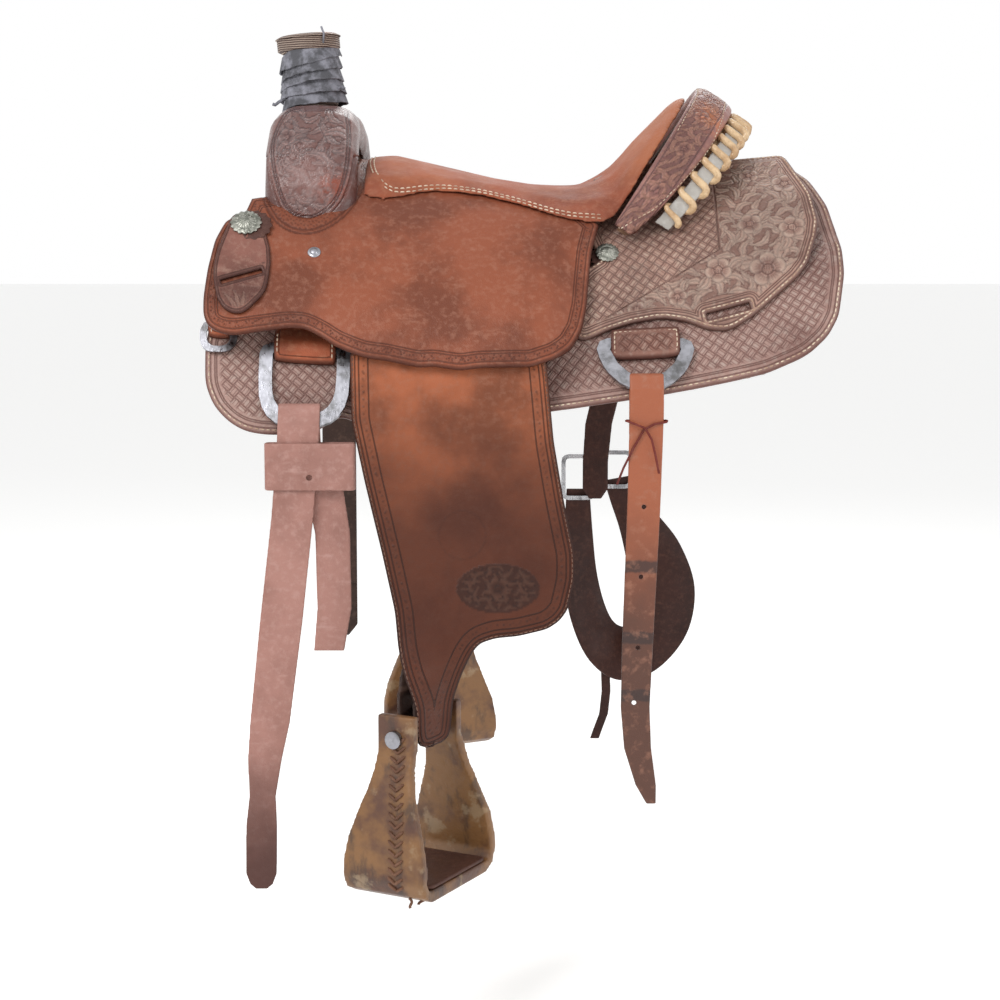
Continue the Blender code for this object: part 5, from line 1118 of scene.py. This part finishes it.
# Horn: an iron post and cap. The cap is covered in layers of rawhide and leather, and the post is wound
# with one wide band of black rubber, each turn lapping the one below, so a dallied rope grips.
hide = Finish("cap_hide", 0.6)
hide_z = hide.node("ShaderNodeSeparateXYZ", {"Vector": hide.place()}).outputs["Z"]
layers = hide.calc("SINE", hide.calc("MULTIPLY", hide.calc("MULTIPLY_ADD", hide.mottle(30), 0.003, hide_z), 2600.0))
cap_colour = hide.tint(hide.step(layers, -0.2, 0.7), (0.085, 0.048, 0.038), (0.40, 0.31, 0.25))
cap_top = hide.step(hide.calc("MULTIPLY_ADD", hide.mottle(45), 0.004, hide_z), 0.2695, 0.2712)
cap_colour = hide.tint(cap_top, cap_colour, (0.42, 0.24, 0.20))
hide.press(layers, 0.0005)
hide.press(hide.mottle(160, 4), 0.0006)
cap_hide = hide.done(cap_colour)
cap_cover = worked("horn_cap_hide", "horn_cap_cover", 0.0012, 2, cap_hide)
nodes["horn"].data.materials.clear()
nodes["horn"].data.materials.append(cap_hide)
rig.slot(cap_cover, "rawhide")

rubber = Finish("black_rubber", 0.82)
rubber.press(rubber.mottle(320, 5), 0.0006)
rubber.press(rubber.mottle(45, 4, (1, 1, 3)), 0.0016)
black_rubber = rubber.done(rubber.tint(rubber.step(rubber.mottle(70, 5), 0.38, 0.66), (0.078, 0.078, 0.088), (0.255, 0.255, 0.295)))

HORN_AXIS = Vector((-0.08716, 0, 0.99619))
HORN_CENTRE = Vector((-0.2503, 0, 0.2670))
BAND_WIDE = 0.0190
BAND_THICK = 0.0026
BAND_TURNS = 4.9
BAND_STEPS = 40


def horn_ribbon():
    """The rubber band wound up the post, its lower edge standing off over the turn below."""
    rings = []
    count = int(BAND_TURNS * BAND_STEPS)
    for k in range(count + 1):
        t = k / BAND_STEPS
        a = 2 * math.pi * t + 0.9
        down = 0.0810 - t * 0.0122
        slope = 0.0042 * math.sin(a - 0.6 + 0.9 * math.sin(t))
        ragged = 0.0010 * math.sin(7 * a + t) + 0.0008 * math.sin(17 * a + 1.0) + 0.0016 * math.sin(2.3 * a + 2)
        end = min(1.0, k / 4, (count - k) / 4)
        ring = []
        for side, lift in ((-0.5, 0.0), (0.5, 0.0), (0.5, 1.0), (-0.5, 1.0)):
            along = down + side * (BAND_WIDE + ragged) + slope
            r = 0.0300 + (0.0052 if side > 0 else 0.0) + lift * BAND_THICK * (0.35 + 0.65 * end)
            bulge = 0.0030 * math.sin(2 * a + 1.3 * t) + 0.0012 * math.sin(5 * a)
            spoke = Vector((math.cos(a), math.sin(a), 0))
            spoke.rotate(Matrix.Rotation(math.radians(-5.0), 3, "Y"))
            ring.append(HORN_CENTRE - HORN_AXIS * along + spoke * (r + bulge * 0.5))
        rings.append(ring)
    points = [tuple(p) for ring in rings for p in ring]
    faces = [(4 * k + q, 4 * k + (q + 1) % 4, 4 * k + 4 + (q + 1) % 4, 4 * k + 4 + q)
             for k in range(count) for q in range(4)]
    faces += [(3, 2, 1, 0), tuple(4 * count + q for q in range(4))]
    mesh = bpy.data.meshes.new("horn_rubber")
    mesh.from_pydata(points, [], faces)
    bm = bmesh.new()
    bm.from_mesh(mesh)
    bmesh.ops.recalc_face_normals(bm, faces=bm.faces[:])
    bmesh.ops.bevel(bm, geom=bm.edges[:], offset=0.0006, segments=1, affect="EDGES")
    bm.to_mesh(mesh)
    bm.free()
    mesh.materials.append(black_rubber)
    band = bpy.data.objects.new("horn_rubber", mesh)
    bpy.context.scene.collection.objects.link(band)
    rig.ride(band, "saddle")
    return band


def lace_tail(name, points, thick, material, body):
    """A loose round end of lace or rubber along a line of points."""
    spine = bpy.data.curves.new(name, "CURVE")
    spine.dimensions = "3D"
    spine.bevel_depth = thick
    spine.bevel_resolution = 2
    spine.use_fill_caps = True
    line = spine.splines.new("POLY")
    line.points.add(len(points) - 1)
    for point, place in zip(line.points, points):
        point.co = (*place, 1)
    made = bpy.data.objects.new(name, spine)
    bpy.context.scene.collection.objects.link(made)
    bpy.context.view_layer.update()
    mesh = bpy.data.meshes.new_from_object(made.evaluated_get(bpy.context.evaluated_depsgraph_get()))
    bpy.data.objects.remove(made)
    mesh.materials.clear()
    mesh.materials.append(material)
    tail_piece = bpy.data.objects.new(name, mesh)
    bpy.context.scene.collection.objects.link(tail_piece)
    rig.ride(tail_piece, body)
    return tail_piece


band = horn_ribbon()
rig.replaces(band, "horn_wrap")
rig.slot(band, "black_rubber")
lace_tail("horn_rubber_end_low", [(-0.2760, -0.022, 0.1935), (-0.2815, -0.026, 0.1905), (-0.2855, -0.028, 0.1870), (-0.2885, -0.028, 0.1880)], 0.0019,
          black_rubber, "saddle")
lace_tail("horn_rubber_end_side", [(-0.2150, -0.020, 0.2060), (-0.2100, -0.024, 0.2075), (-0.2065, -0.024, 0.2050)], 0.0019,
          black_rubber, "saddle")
lace_tail("horn_rubber_end_top", [(-0.2300, -0.030, 0.2560), (-0.2290, -0.033, 0.2660), (-0.2320, -0.032, 0.2740)], 0.0012,
          black_rubber, "saddle")

# Cantle: the tooled roll over its top, a plain back, and under the roll a silvery leather core wound with
# fat rawhide lacing, which is what this saddle is known by. The lacing is dampened and pulled tight as it dries.
def roll_shape(piece):
    co, normal = corners_of(piece)
    around = np.arctan2(co[:, 1], co[:, 2] - 0.055)
    u = around * 0.150
    bins = np.clip(((u - u.min()) / (u.max() - u.min()) * 60).astype(int), 0, 60)
    centre = np.array([co[bins == k, 0].mean() if (bins == k).any() else 0.0 for k in range(61)])
    middle = np.interp((u - u.min()) / (u.max() - u.min()) * 60, np.arange(61) + 0.5, centre)
    v = co[:, 0] - middle
    flat = np.column_stack([u, v])
    state = bare(flat)
    foliage(state, flat, [(k * 0.051, 0.0) for k in range(-5, 6)], (-0.25, -0.018), (0.25, 0.020), 0.0135, 0.0210, 0.0048)
    for k in range(-5, 6):
        flower(state, flat, k * 0.051, 0.001, 0.0098, k * 0.7)
    reach = np.clip((0.016 - np.abs(v)) / 0.001, 0, 1)
    tooling, sunk = carved(state, reach)
    edge = np.clip(1.6 - np.abs(np.abs(v) - 0.017) / 0.0008, 0, 1)
    tooling[:, 1] = np.maximum(tooling[:, 1], edge)
    tooling[:, 0] = np.clip(1.3 - np.linalg.norm((co - (0.203, -0.080, 0.168)) / (0.016, 0.030, 0.024), axis=1), 0, 1)
    dressed(piece, flat, v * 0 + 0.05, tooling)
    press_in(piece, co, normal, np.maximum(sunk, edge * 0.0006))


roll_leather = leather("roll_leather", (0.315, 0.142, 0.122), (0.065, 0.023, 0.021), (0.50, 0.26, 0.17), 0.36, tooled=True, gloss=0.36,
                       patch=(0.56, 0.17, 0.055),
                       scuffs=0.6)
cantle_roll = worked("cantle_roll_leather", "cantle_roll", 0.0016, 5, roll_leather, shape=roll_shape)
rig.slot(cantle_roll, "russet_leather")
ROLL_INNER = [(0.097, -0.157, 0.045), (0.1115, -0.1471, 0.0655), (0.1293, -0.1393, 0.0921), (0.1466, -0.1272, 0.1171),
              (0.1612, -0.1150, 0.146), (0.1773, -0.0983, 0.1712), (0.1904, -0.0638, 0.1932), (0.196, -0.030, 0.203),
              (0.197, 0.0, 0.205)]
ROLL_OUTER = [(0.1018, -0.1592, 0.0474), (0.1213, -0.1576, 0.0592), (0.1377, -0.1542, 0.0678), (0.1565, -0.1467, 0.0862),
              (0.1769, -0.1345, 0.1059), (0.1951, -0.1142, 0.127), (0.2080, -0.098, 0.150), (0.2171, -0.0781, 0.167),
              (0.2219, -0.0531, 0.1818), (0.226, -0.025, 0.190), (0.228, 0.0, 0.192)]
for label, path in (("inner", ROLL_INNER), ("outer", ROLL_OUTER)):
    for side, way in (("near", path), ("off", off_path(path))):
        sew("cantle_seam_" + label + "_" + side, way, cantle_roll, cream_thread, pitch=0.0056)
worked("cantle_back_leather", "cantle_back", 0.0024, 4, jockey_leather)
core_leather = leather("lacing_core_leather", (0.46, 0.44, 0.41), (0.24, 0.21, 0.18), (0.66, 0.65, 0.63), 0.40)
worked("lacing_core_leather", "lacing_core", 0.0018, 3, core_leather)
raw = Finish("rawhide", 0.38)
raw_blotch = raw.step(raw.mottle(45, 4), 0.36, 0.66)
raw.press(raw.mottle(140, 4, (1, 1, 0.4)), 0.0008)
raw.shader.inputs["Coat Weight"].default_value = 0.15
rawhide = raw.done(raw.tint(raw.calc("MULTIPLY", raw.step(raw.mottle(210, 3), 0.5, 0.75), 0.5),
                            raw.tint(raw_blotch, (0.72, 0.52, 0.31), (0.50, 0.31, 0.16)), (0.30, 0.16, 0.08)))


def fatten(piece):
    """The lacing bulges most at the outer fold, where two strands lie side by side."""
    co, normal = corners_of(piece)
    outer = np.clip((co[:, 0] - np.interp(np.abs(co[:, 1]), (0.0, 0.08, 0.15), (0.222, 0.205, 0.150))) / 0.03 + 0.4, 0, 1)
    press_in(piece, co, normal, -(0.0009 + 0.0019 * outer))


lacing = worked("rawhide_lacing_wound", "rawhide_lacing", 0.0009, 2, rawhide, shape=fatten)
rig.slot(lacing, "rawhide")


# Fenders: wide plain leathers between the rider's leg and the horse, worn pale at the thigh and dark with
# sweat below, with a creased and stamped border and a carved flower in an oval low down.
def upright(points):
    """From the near side's space to a leather that hangs: along, up, and out from the horse."""
    return np.stack([points[:, 0], points[:, 2], -points[:, 1]], 1)


def hung(flat):
    return np.stack([flat[:, 0], -flat[:, 2], flat[:, 1]], 1)


def fender_tooling(flat, rim):
    state = bare(flat)
    oval = np.hypot(flat[:, 0] + 0.032, (flat[:, 1] + 0.324) * 1.72)
    foliage(state, flat, [(-0.032, -0.324)], (-0.072, -0.348), (0.008, -0.300), 0.0105, 0.0170, 0.0034)
    flower(state, flat, -0.032, -0.324, 0.0105, 0.4)
    inside = np.clip((0.0395 - oval) / 0.001, 0, 1)
    tooling, sunk = carved(state, inside)
    dark = np.clip((0.0435 - oval) / 0.0008, 0, 1)
    tooling[:, 1] = np.maximum(tooling[:, 1] * inside, dark * 0.80)
    tooling[:, 2] *= 0.35
    stamped = np.clip(1 - np.abs(rim - 0.0135) / 0.0022, 0, 1)
    wave = np.sin(flat[:, 0] * 900) * np.sin(flat[:, 1] * 900)
    tooling[:, 1] = np.maximum(tooling[:, 1], stamped * np.clip(wave * 1.6, 0, 0.8))
    from_ring = np.hypot(flat[:, 0] + 0.0692, flat[:, 1] + 0.2696)
    ring = np.clip(1 - np.abs(from_ring - 0.0245) / 0.0014, 0, 1) * 0.30
    tooling[:, 1] = np.maximum(tooling[:, 1], ring)
    return tooling, sunk + ring * 0.0004


fender_leather = leather("fender_leather", (0.430, 0.128, 0.056), (0.020, 0.008, 0.006), (0.36, 0.17, 0.11), 0.42,
                         lines=((0.0048, 0.0007), (0.0088, 0.0007), (0.0185, 0.0007)), tooled=True,
                         fade=(-0.27, -0.06, (0.050, 0.013, 0.007)), scuffs=0.26)
fender = drape("fender_near", "fender_near_leather", 0.0022, 0.0036, fender_leather, body="near_fender",
               tool=fender_tooling, blur=40, spaces=(upright, hung), least=0.10)
to_off_side(fender["piece"], "fender_off_leather", "fender_off")
dark_thread = thread("brown_thread", (0.20, 0.10, 0.065), (0.09, 0.045, 0.03))
fender_seam = stitches("fender_near_seam", fender, 0.0026, lambda x, z: z < -0.06, dark_thread, thick=0.0005,
                       body="near_fender")
to_off_side(fender_seam, "fender_off_seam")

# Stirrup leathers: they carry the rider. Each loops over the tree's bar and through the stirrup, and its
# tail and its laced buckle hang behind the fender, black with oil.
strap_black = leather("oiled_strap", (0.040, 0.021, 0.016), (0.012, 0.007, 0.006), (0.13, 0.075, 0.055), 0.46)
for side in ("near", "off"):
    worked("stirrup_leather_" + side + "_strap", "stirrup_leather_" + side, 0.0022, 2, strap_black, side + "_fender")

# Stirrups: bent wood under rawhide, stained by boots and rain, with a leather-covered tread. Down each
# branch the hide's edges are drawn together with brown whip lacing, its ends left hanging under the tread.
hide_stain = Finish("stirrup_hide", 0.48)
worn_patch = hide_stain.step(hide_stain.mottle(17, 4), 0.42, 0.62)
grime = hide_stain.step(hide_stain.mottle(48, 5, (1, 1, 0.5)), 0.50, 0.68)
hide_colour = hide_stain.tint(worn_patch, (0.215, 0.100, 0.032), (0.090, 0.034, 0.017))
hide_colour = hide_stain.tint(hide_stain.calc("MULTIPLY", grime, 0.75), hide_colour, (0.045, 0.022, 0.014))
hide_colour = hide_stain.tint(hide_stain.calc("MULTIPLY", hide_stain.step(hide_stain.mottle(31, 4), 0.60, 0.70), 0.6),
                              hide_colour, (0.34, 0.24, 0.14))
hide_stain.press(hide_stain.mottle(120, 5), 0.0010)
hide_stain.shader.inputs["Coat Weight"].default_value = 0.10
stirrup_hide = hide_stain.done(hide_colour)
lace_brown = leather("brown_lace", (0.16, 0.075, 0.045), (0.05, 0.022, 0.014), (0.30, 0.17, 0.11), 0.5)
tread_leather = leather("tread_leather", (0.085, 0.036, 0.026), (0.03, 0.013, 0.010), (0.16, 0.08, 0.055), 0.42)
stirrup = worked("stirrup_near_hide", "stirrup_near", 0.0021, 5, stirrup_hide, "near_stirrup")
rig.slot(stirrup, "rawhide")
to_off_side(stirrup, "stirrup_off_hide", "stirrup_off")
tread = worked("stirrup_tread_near_leather", "stirrup_tread_near", 0.0016, 2, tread_leather, "near_stirrup")
to_off_side(tread, "stirrup_tread_off_leather", "stirrup_tread_off")
WHIP = [(-0.1344, -0.3620, -0.470), (-0.1346, -0.3640, -0.490), (-0.1350, -0.3766, -0.5267), (-0.1347, -0.3864, -0.5653),
        (-0.1358, -0.3899, -0.6078), (-0.1365, -0.3900, -0.622)]
for label, shift, slant in (("a", -0.0042, 52), ("b", 0.0042, -52)):
    whip = sew("stirrup_near_whip_" + label, [(x + shift, y, z) for x, y, z in WHIP], stirrup, lace_brown, pitch=0.0094,
               length=0.0125, thick=0.0017, slant=slant, body="near_stirrup")
    to_off_side(whip, "stirrup_off_whip_" + label)


for k, (start, end) in enumerate((((-0.122, -0.386, -0.626), (-0.119, -0.388, -0.636)),
                                  ((-0.104, -0.380, -0.627), (-0.112, -0.383, -0.634)))):
    path = [np.array(start) + (np.array(end) - start) * w + np.array((0.0018 * math.sin(w * 5 + k), 0, 0))
            for w in np.linspace(0, 1, 9)]
    knot = lace_tail("stirrup_near_lace_end_" + "ab"[k], path, 0.0015, lace_brown, "near_stirrup")
    to_off_side(knot, "stirrup_off_lace_end_" + "ab"[k])

# Latigo: the long soft strap that ties the front cinch. It is oil-tanned and pinkish, folded twice through
# the near dee and held up by a turn round itself. The off billet is the stiff doubled strap on the other side.
latigo_leather = leather("latigo_leather", (0.40, 0.205, 0.170), (0.20, 0.095, 0.075), (0.54, 0.34, 0.30), 0.62, cells=1100,
                         fade=(-0.64, -0.48, (0.060, 0.026, 0.022)), scuffs=0.35)
latigo = worked("latigo_near_strap", "latigo_near", 0.0012, 3, latigo_leather, "near_front_dee")
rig.slot(latigo, "latigo_leather")
latigo_turn = worked("latigo_turn_strap", "latigo_wrap", 0.0012, 4, latigo_leather, "near_front_dee",
                     holes=[(Matrix.Translation((-0.229, -0.271, -0.2117)) @ Matrix.Rotation(math.pi / 2, 4, "X"),
                             0.0030, 0.012)])
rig.slot(latigo_turn, "latigo_leather")
worked("off_billet_strap", "off_billet", 0.0016, 3, strap_black, "off_front_dee")

# Flank billets and flank cinch: straps for the rear cinch, punched by hand and dark above each hole where
# the buckle has sat, with a red lace tying the fold, two roller buckles and a doubled cinch.
billet = Finish("billet_leather", 0.40)
billet_z = billet.node("ShaderNodeSeparateXYZ", {"Vector": billet.place()}).outputs["Z"]
billet_fall = billet.step(billet.calc("MULTIPLY_ADD", billet.mottle(20), 0.10, billet_z), -0.15, -0.36)
billet_colour = billet.tint(billet_fall, (0.34, 0.095, 0.040), (0.090, 0.032, 0.018))
for at in (-0.309, -0.3855, -0.4480):
    off = billet.calc("ABSOLUTE", billet.calc("SUBTRACT", billet.calc("MULTIPLY_ADD", billet.mottle(90), 0.006, billet_z), at + 0.003))
    billet_colour = billet.tint(billet.calc("MULTIPLY", billet.step(off, 0.0078, 0.0048), 0.82), billet_colour, (0.030, 0.014, 0.012))
billet_colour = billet.tint(billet.calc("MULTIPLY", billet.step(billet.mottle(80, 5), 0.50, 0.70), 0.45), billet_colour,
                            (0.36, 0.16, 0.10))
billet.press(billet.pores(900), 0.0002)
billet.press(billet.mottle(75, 4), 0.0006)
billet_leather = billet.done(billet_colour)
sideways = Matrix.Rotation(math.pi / 2, 4, "X")
BILLET_HOLES = ((0.1219, -0.2451), (0.1194, -0.3199), (0.1168, -0.3964), (0.1131, -0.4562))
worked("flank_billet_near_strap", "flank_billet_near", 0.0011, 3, billet_leather, "near_rear_dee",
       holes=[(Matrix.Translation((x, -0.245, z)) @ sideways, 0.0026, 0.030) for x, z in BILLET_HOLES])
red_lace = leather("red_lace", (0.155, 0.028, 0.022), (0.060, 0.012, 0.010), (0.26, 0.09, 0.07), 0.55)
worked("billet_tie_lace", "billet_tie_near", 0.0006, 1, red_lace, "near_rear_dee")
cinch_leather = leather("cinch_leather", (0.042, 0.014, 0.010), (0.015, 0.006, 0.005), (0.11, 0.045, 0.030), 0.42)
worked("flank_billet_off_strap", "flank_billet_off", 0.0013, 3, cinch_leather, "off_rear_dee")
CINCH_THICK = 0.004
CINCH_WALL = [(-1, -0.4), (-1, 0.4), (-0.96, 1), (0, 1), (0.96, 1), (1, 0.4), (1, -0.4), (0.96, -1), (0, -1), (-0.96, -1)]
CINCH_STEPS = 7


def cinch_body():
    """The cinch's wide body, folded up between its buckles: x, z, half width along and up, and depth."""
    low, high = (np.array(c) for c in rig.box("cinch_buckle_front"))
    _, buckle_y, buckle_z = (low + high) / 2
    rows = np.array([(0.0720, buckle_z - 0.016, 0.0150, 0.0, 0.0), (0.0730, -0.345, 0.0185, 0.0, 0.003),
                     (0.0760, -0.400, 0.0215, 0.001, 0.010), (0.0860, -0.452, 0.0225, 0.008, 0.018),
                     (0.1050, -0.492, 0.0170, 0.022, 0.018), (0.1330, -0.507, 0.0060, 0.034, 0.012),
                     (0.1600, -0.488, -0.0160, 0.040, 0.004), (0.1780, -0.450, -0.0380, 0.030, 0.0),
                     (0.1820, -0.408, -0.0440, 0.010, 0.0), (0.1700, -0.366, -0.0360, -0.006, 0.0),
                     (0.1500, -0.328, -0.0240, -0.010, 0.0), (0.1330, -0.296, -0.0185, -0.008, 0.0),
                     (0.1220, buckle_z - 0.002, -0.0160, -0.003, 0.0)])
    last = len(rows) - 1
    curve = []
    for k in range(last * CINCH_STEPS + 1):
        i, t = min(k // CINCH_STEPS, last - 1), k / CINCH_STEPS
        t -= i
        a, b, c, d = rows[max(i - 1, 0)], rows[i], rows[i + 1], rows[min(i + 2, last)]
        curve.append(0.5 * (2 * b + (c - a) * t + (2 * a - 5 * b + 4 * c - d) * t * t + (3 * b - a - 3 * c + d) * t ** 3))
    middles = [Vector((x, buckle_y + 0.0043 + 0.6 * deep, z)) for x, z, _, _, deep in curve]
    bm = bmesh.new()
    rings = []
    for k, (x, z, along, rise, deep) in enumerate(curve):
        half = Vector((along, deep, rise))
        ahead = middles[min(k + 1, len(curve) - 1)] - middles[max(k - 1, 0)]
        up = ahead.cross(half).normalized() * (CINCH_THICK / 2)
        rings.append([bm.verts.new(middles[k] + half * u + up * v) for u, v in CINCH_WALL])
    for one, other in zip(rings, rings[1:]):
        for i in range(len(CINCH_WALL)):
            j = (i + 1) % len(CINCH_WALL)
            bm.faces.new((one[i], one[j], other[j], other[i]))
    bm.faces.new(rings[0][::-1])
    bm.faces.new(rings[-1])
    bmesh.ops.recalc_face_normals(bm, faces=bm.faces[:])
    mesh = bpy.data.meshes.new("flank_cinch_leather")
    bm.to_mesh(mesh)
    bm.free()
    mesh.polygons.foreach_set("use_smooth", [True] * len(mesh.polygons))
    mesh.set_sharp_from_angle(angle=math.radians(SHARP_BEND))
    mesh.materials.append(cinch_leather)
    piece = bpy.data.objects.new("flank_cinch_leather", mesh)
    bpy.context.scene.collection.objects.link(piece)
    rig.ride(piece, "off_rear_dee")
    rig.replaces(piece, "flank_cinch")


cinch_body()
worked("connector_strap_leather", "connector_strap", 0.0011, 2, cinch_leather, "off_rear_dee")
chrome = metal("buckle_chrome", (0.55, 0.55, 0.57), (0.24, 0.24, 0.25), 0.16, 0.12)
for node in ("cinch_buckle_front", "cinch_buckle_back"):
    nodes[node].data.materials.clear()
    nodes[node].data.materials.append(chrome)
    nodes[node].data.shade_smooth()

# Latigo carriers and conchos: a leaf-shaped keeper hung from the front concho, slotted for the latigo's end.
# The conchos are cast nickel silver with a scalloped edge, gone green-grey, each on a cut leather rosette.
def carrier_tooling(flat, rim):
    state = bare(flat)
    for turn in (-0.9, -1.35, -1.8, -2.25):
        leaf(state, flat, -0.304, 0.268, 0.024, 0.0038, turn, 0.2)
    inside = np.clip((rim - 0.0050) / 0.0008, 0, 1) * np.clip((flat[:, 1] - 0.238) / 0.001, 0, 1)
    tooling, sunk = carved(state, inside)
    tooling[:, 1] *= 0.8
    slot = np.abs((flat[:, 1] - 0.228) * math.cos(-0.384) - (flat[:, 0] + 0.3025) * math.sin(-0.384))
    frame_line = np.clip(1.5 - np.abs(slot - 0.0075) / 0.0008, 0, 1) * np.clip((rim - 0.005) / 0.001, 0, 1)
    tooling[:, 1] = np.maximum(tooling[:, 1], frame_line)
    return tooling, sunk


carrier_leather = leather("carrier_leather", (0.255, 0.108, 0.083), (0.050, 0.018, 0.014), (0.42, 0.26, 0.20), 0.38,
                          lines=((0.0032, 0.0006),), tooled=True)
carrier = drape("latigo_carrier_near", "latigo_carrier_near_leather", 0.0013, 0.0036, carrier_leather,
                tool=carrier_tooling, blur=25, least=0.5)
to_off_side(carrier["piece"], "latigo_carrier_off_leather", "latigo_carrier_off")

tarnish = Finish("nickel_silver", 0.42, 0.9)
dull = tarnish.step(tarnish.mottle(160, 4), 0.40, 0.66)
tarnish.press(tarnish.mottle(700, 2), 0.0002)
nickel_silver = tarnish.done(tarnish.tint(dull, (0.33, 0.33, 0.29), (0.16, 0.165, 0.14)),
                             tarnish.step(tarnish.mottle(220, 3), 0.3, 0.7, 0.30, 0.55))


def turned_disc(name, centre, out, profile, waves, depth, material, body, grooves=0.0):
    """A round boss: profile is (radius, height) from the middle out, its rim scalloped by so many waves."""
    side = 96
    way = Vector(out).to_track_quat("Z", "Y").to_matrix()
    points, faces = [], []
    r_rim = profile[-2][0]
    for r, h in profile:
        for k in range(side):
            a = 2 * math.pi * k / side
            ripple = math.cos(waves * a) * (r / r_rim) ** 6
            flute = abs(math.cos(waves * a / 2)) ** 8 * grooves * math.sin(math.pi * min(1, r / r_rim)) ** 2
            place = Vector((r * (1 + depth * ripple) * math.cos(a), r * (1 + depth * ripple) * math.sin(a), h - flute))
            points.append(tuple(Vector(centre) + way @ place))
    for row in range(len(profile) - 1):
        for k in range(side):
            w = (k + 1) % side
            faces.append((row * side + k, (row + 1) * side + k, (row + 1) * side + w, row * side + w))
    faces.append(tuple(range(side)))
    faces.append(tuple((len(profile) - 1) * side + k for k in range(side))[::-1])
    mesh = bpy.data.meshes.new(name)
    mesh.from_pydata(points, [], faces)
    bm = bmesh.new()
    bm.from_mesh(mesh)
    bmesh.ops.recalc_face_normals(bm, faces=bm.faces[:])
    bm.to_mesh(mesh)
    bm.free()
    mesh.polygons.foreach_set("use_smooth", [True] * len(mesh.polygons))
    mesh.materials.append(material)
    disc = bpy.data.objects.new(name, mesh)
    bpy.context.scene.collection.objects.link(disc)
    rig.ride(disc, body)
    return disc


rosette_leather = leather("rosette_leather", (0.085, 0.038, 0.030), (0.03, 0.013, 0.011), (0.20, 0.10, 0.075), 0.5)


def concho(node, r, shift):
    low, high = (Vector(c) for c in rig.box(node + "_near"))
    middle = (low + high) / 2
    out = Vector((0, middle.y - FORM_OFFSET, middle.z - FORM_DROP)).normalized()
    base = middle - out * 0.0025
    shape = [(0.0006, 0.26), (0.22, 0.25), (0.42, 0.20), (0.56, 0.13), (0.60, 0.10), (0.66, 0.13), (0.72, 0.11), (0.90, 0.07),
             (0.99, 0.03), (1.0, 0.0), (0.97, -0.04)]
    boss = turned_disc(node + "_near_silver", base + out * 0.0024, out, [(a * r, b * r) for a, b in shape], 16, 0.05,
                       nickel_silver, "saddle", 0.0007)
    leaves = [(0.0006, 0.0022), (0.7, 0.0021), (0.95, 0.0019), (1.0, 0.0008), (0.98, -0.0006)]
    petals = turned_disc(node + "_near_rosette", base + Vector(shift), out, [(a * r * 1.30 if a > 0.01 else a, b) for a, b in leaves],
                         14, 0.055, rosette_leather, "saddle", 0.0009)
    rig.replaces(boss, node + "_near")
    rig.slot(boss, "nickel_silver")
    to_off_side(boss, node + "_off_silver", node + "_off")
    to_off_side(petals, node + "_off_rosette")


concho("front_concho", 0.0165, (0.006, 0, -0.002))
concho("rear_concho", 0.0125, (-0.002, 0, -0.004))

# Jockey screws: one bright oval-headed screw with a ferrule through each side of the seat jockey into the fork.
screw_flat = np.array([[-0.2283, 0.1907, 0.0]])
screw_flat[0, 2] = jockey["lift"](screw_flat[:, :2])[0] + 0.0004
screw_place = roll(screw_flat)[0]
screw_out = Vector((0, screw_place[1] - FORM_OFFSET, screw_place[2] - FORM_DROP)).normalized()
screw = turned_disc("jockey_screw_near", screw_place, screw_out, [(0.0005, 0.0030), (0.0030, 0.0027), (0.0042, 0.0016),
                    (0.0045, 0.0010), (0.0062, 0.0012), (0.0070, 0.0005), (0.0071, -0.0006)], 2, 0.0, steel, "saddle")
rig.slot(screw, "chrome")
to_off_side(screw, "jockey_screw_off")

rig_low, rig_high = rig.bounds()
json.dump({"cad": [list(cad_low), list(cad_high)], "visual": [list(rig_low), list(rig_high)]},
          open("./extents.json", "w"))
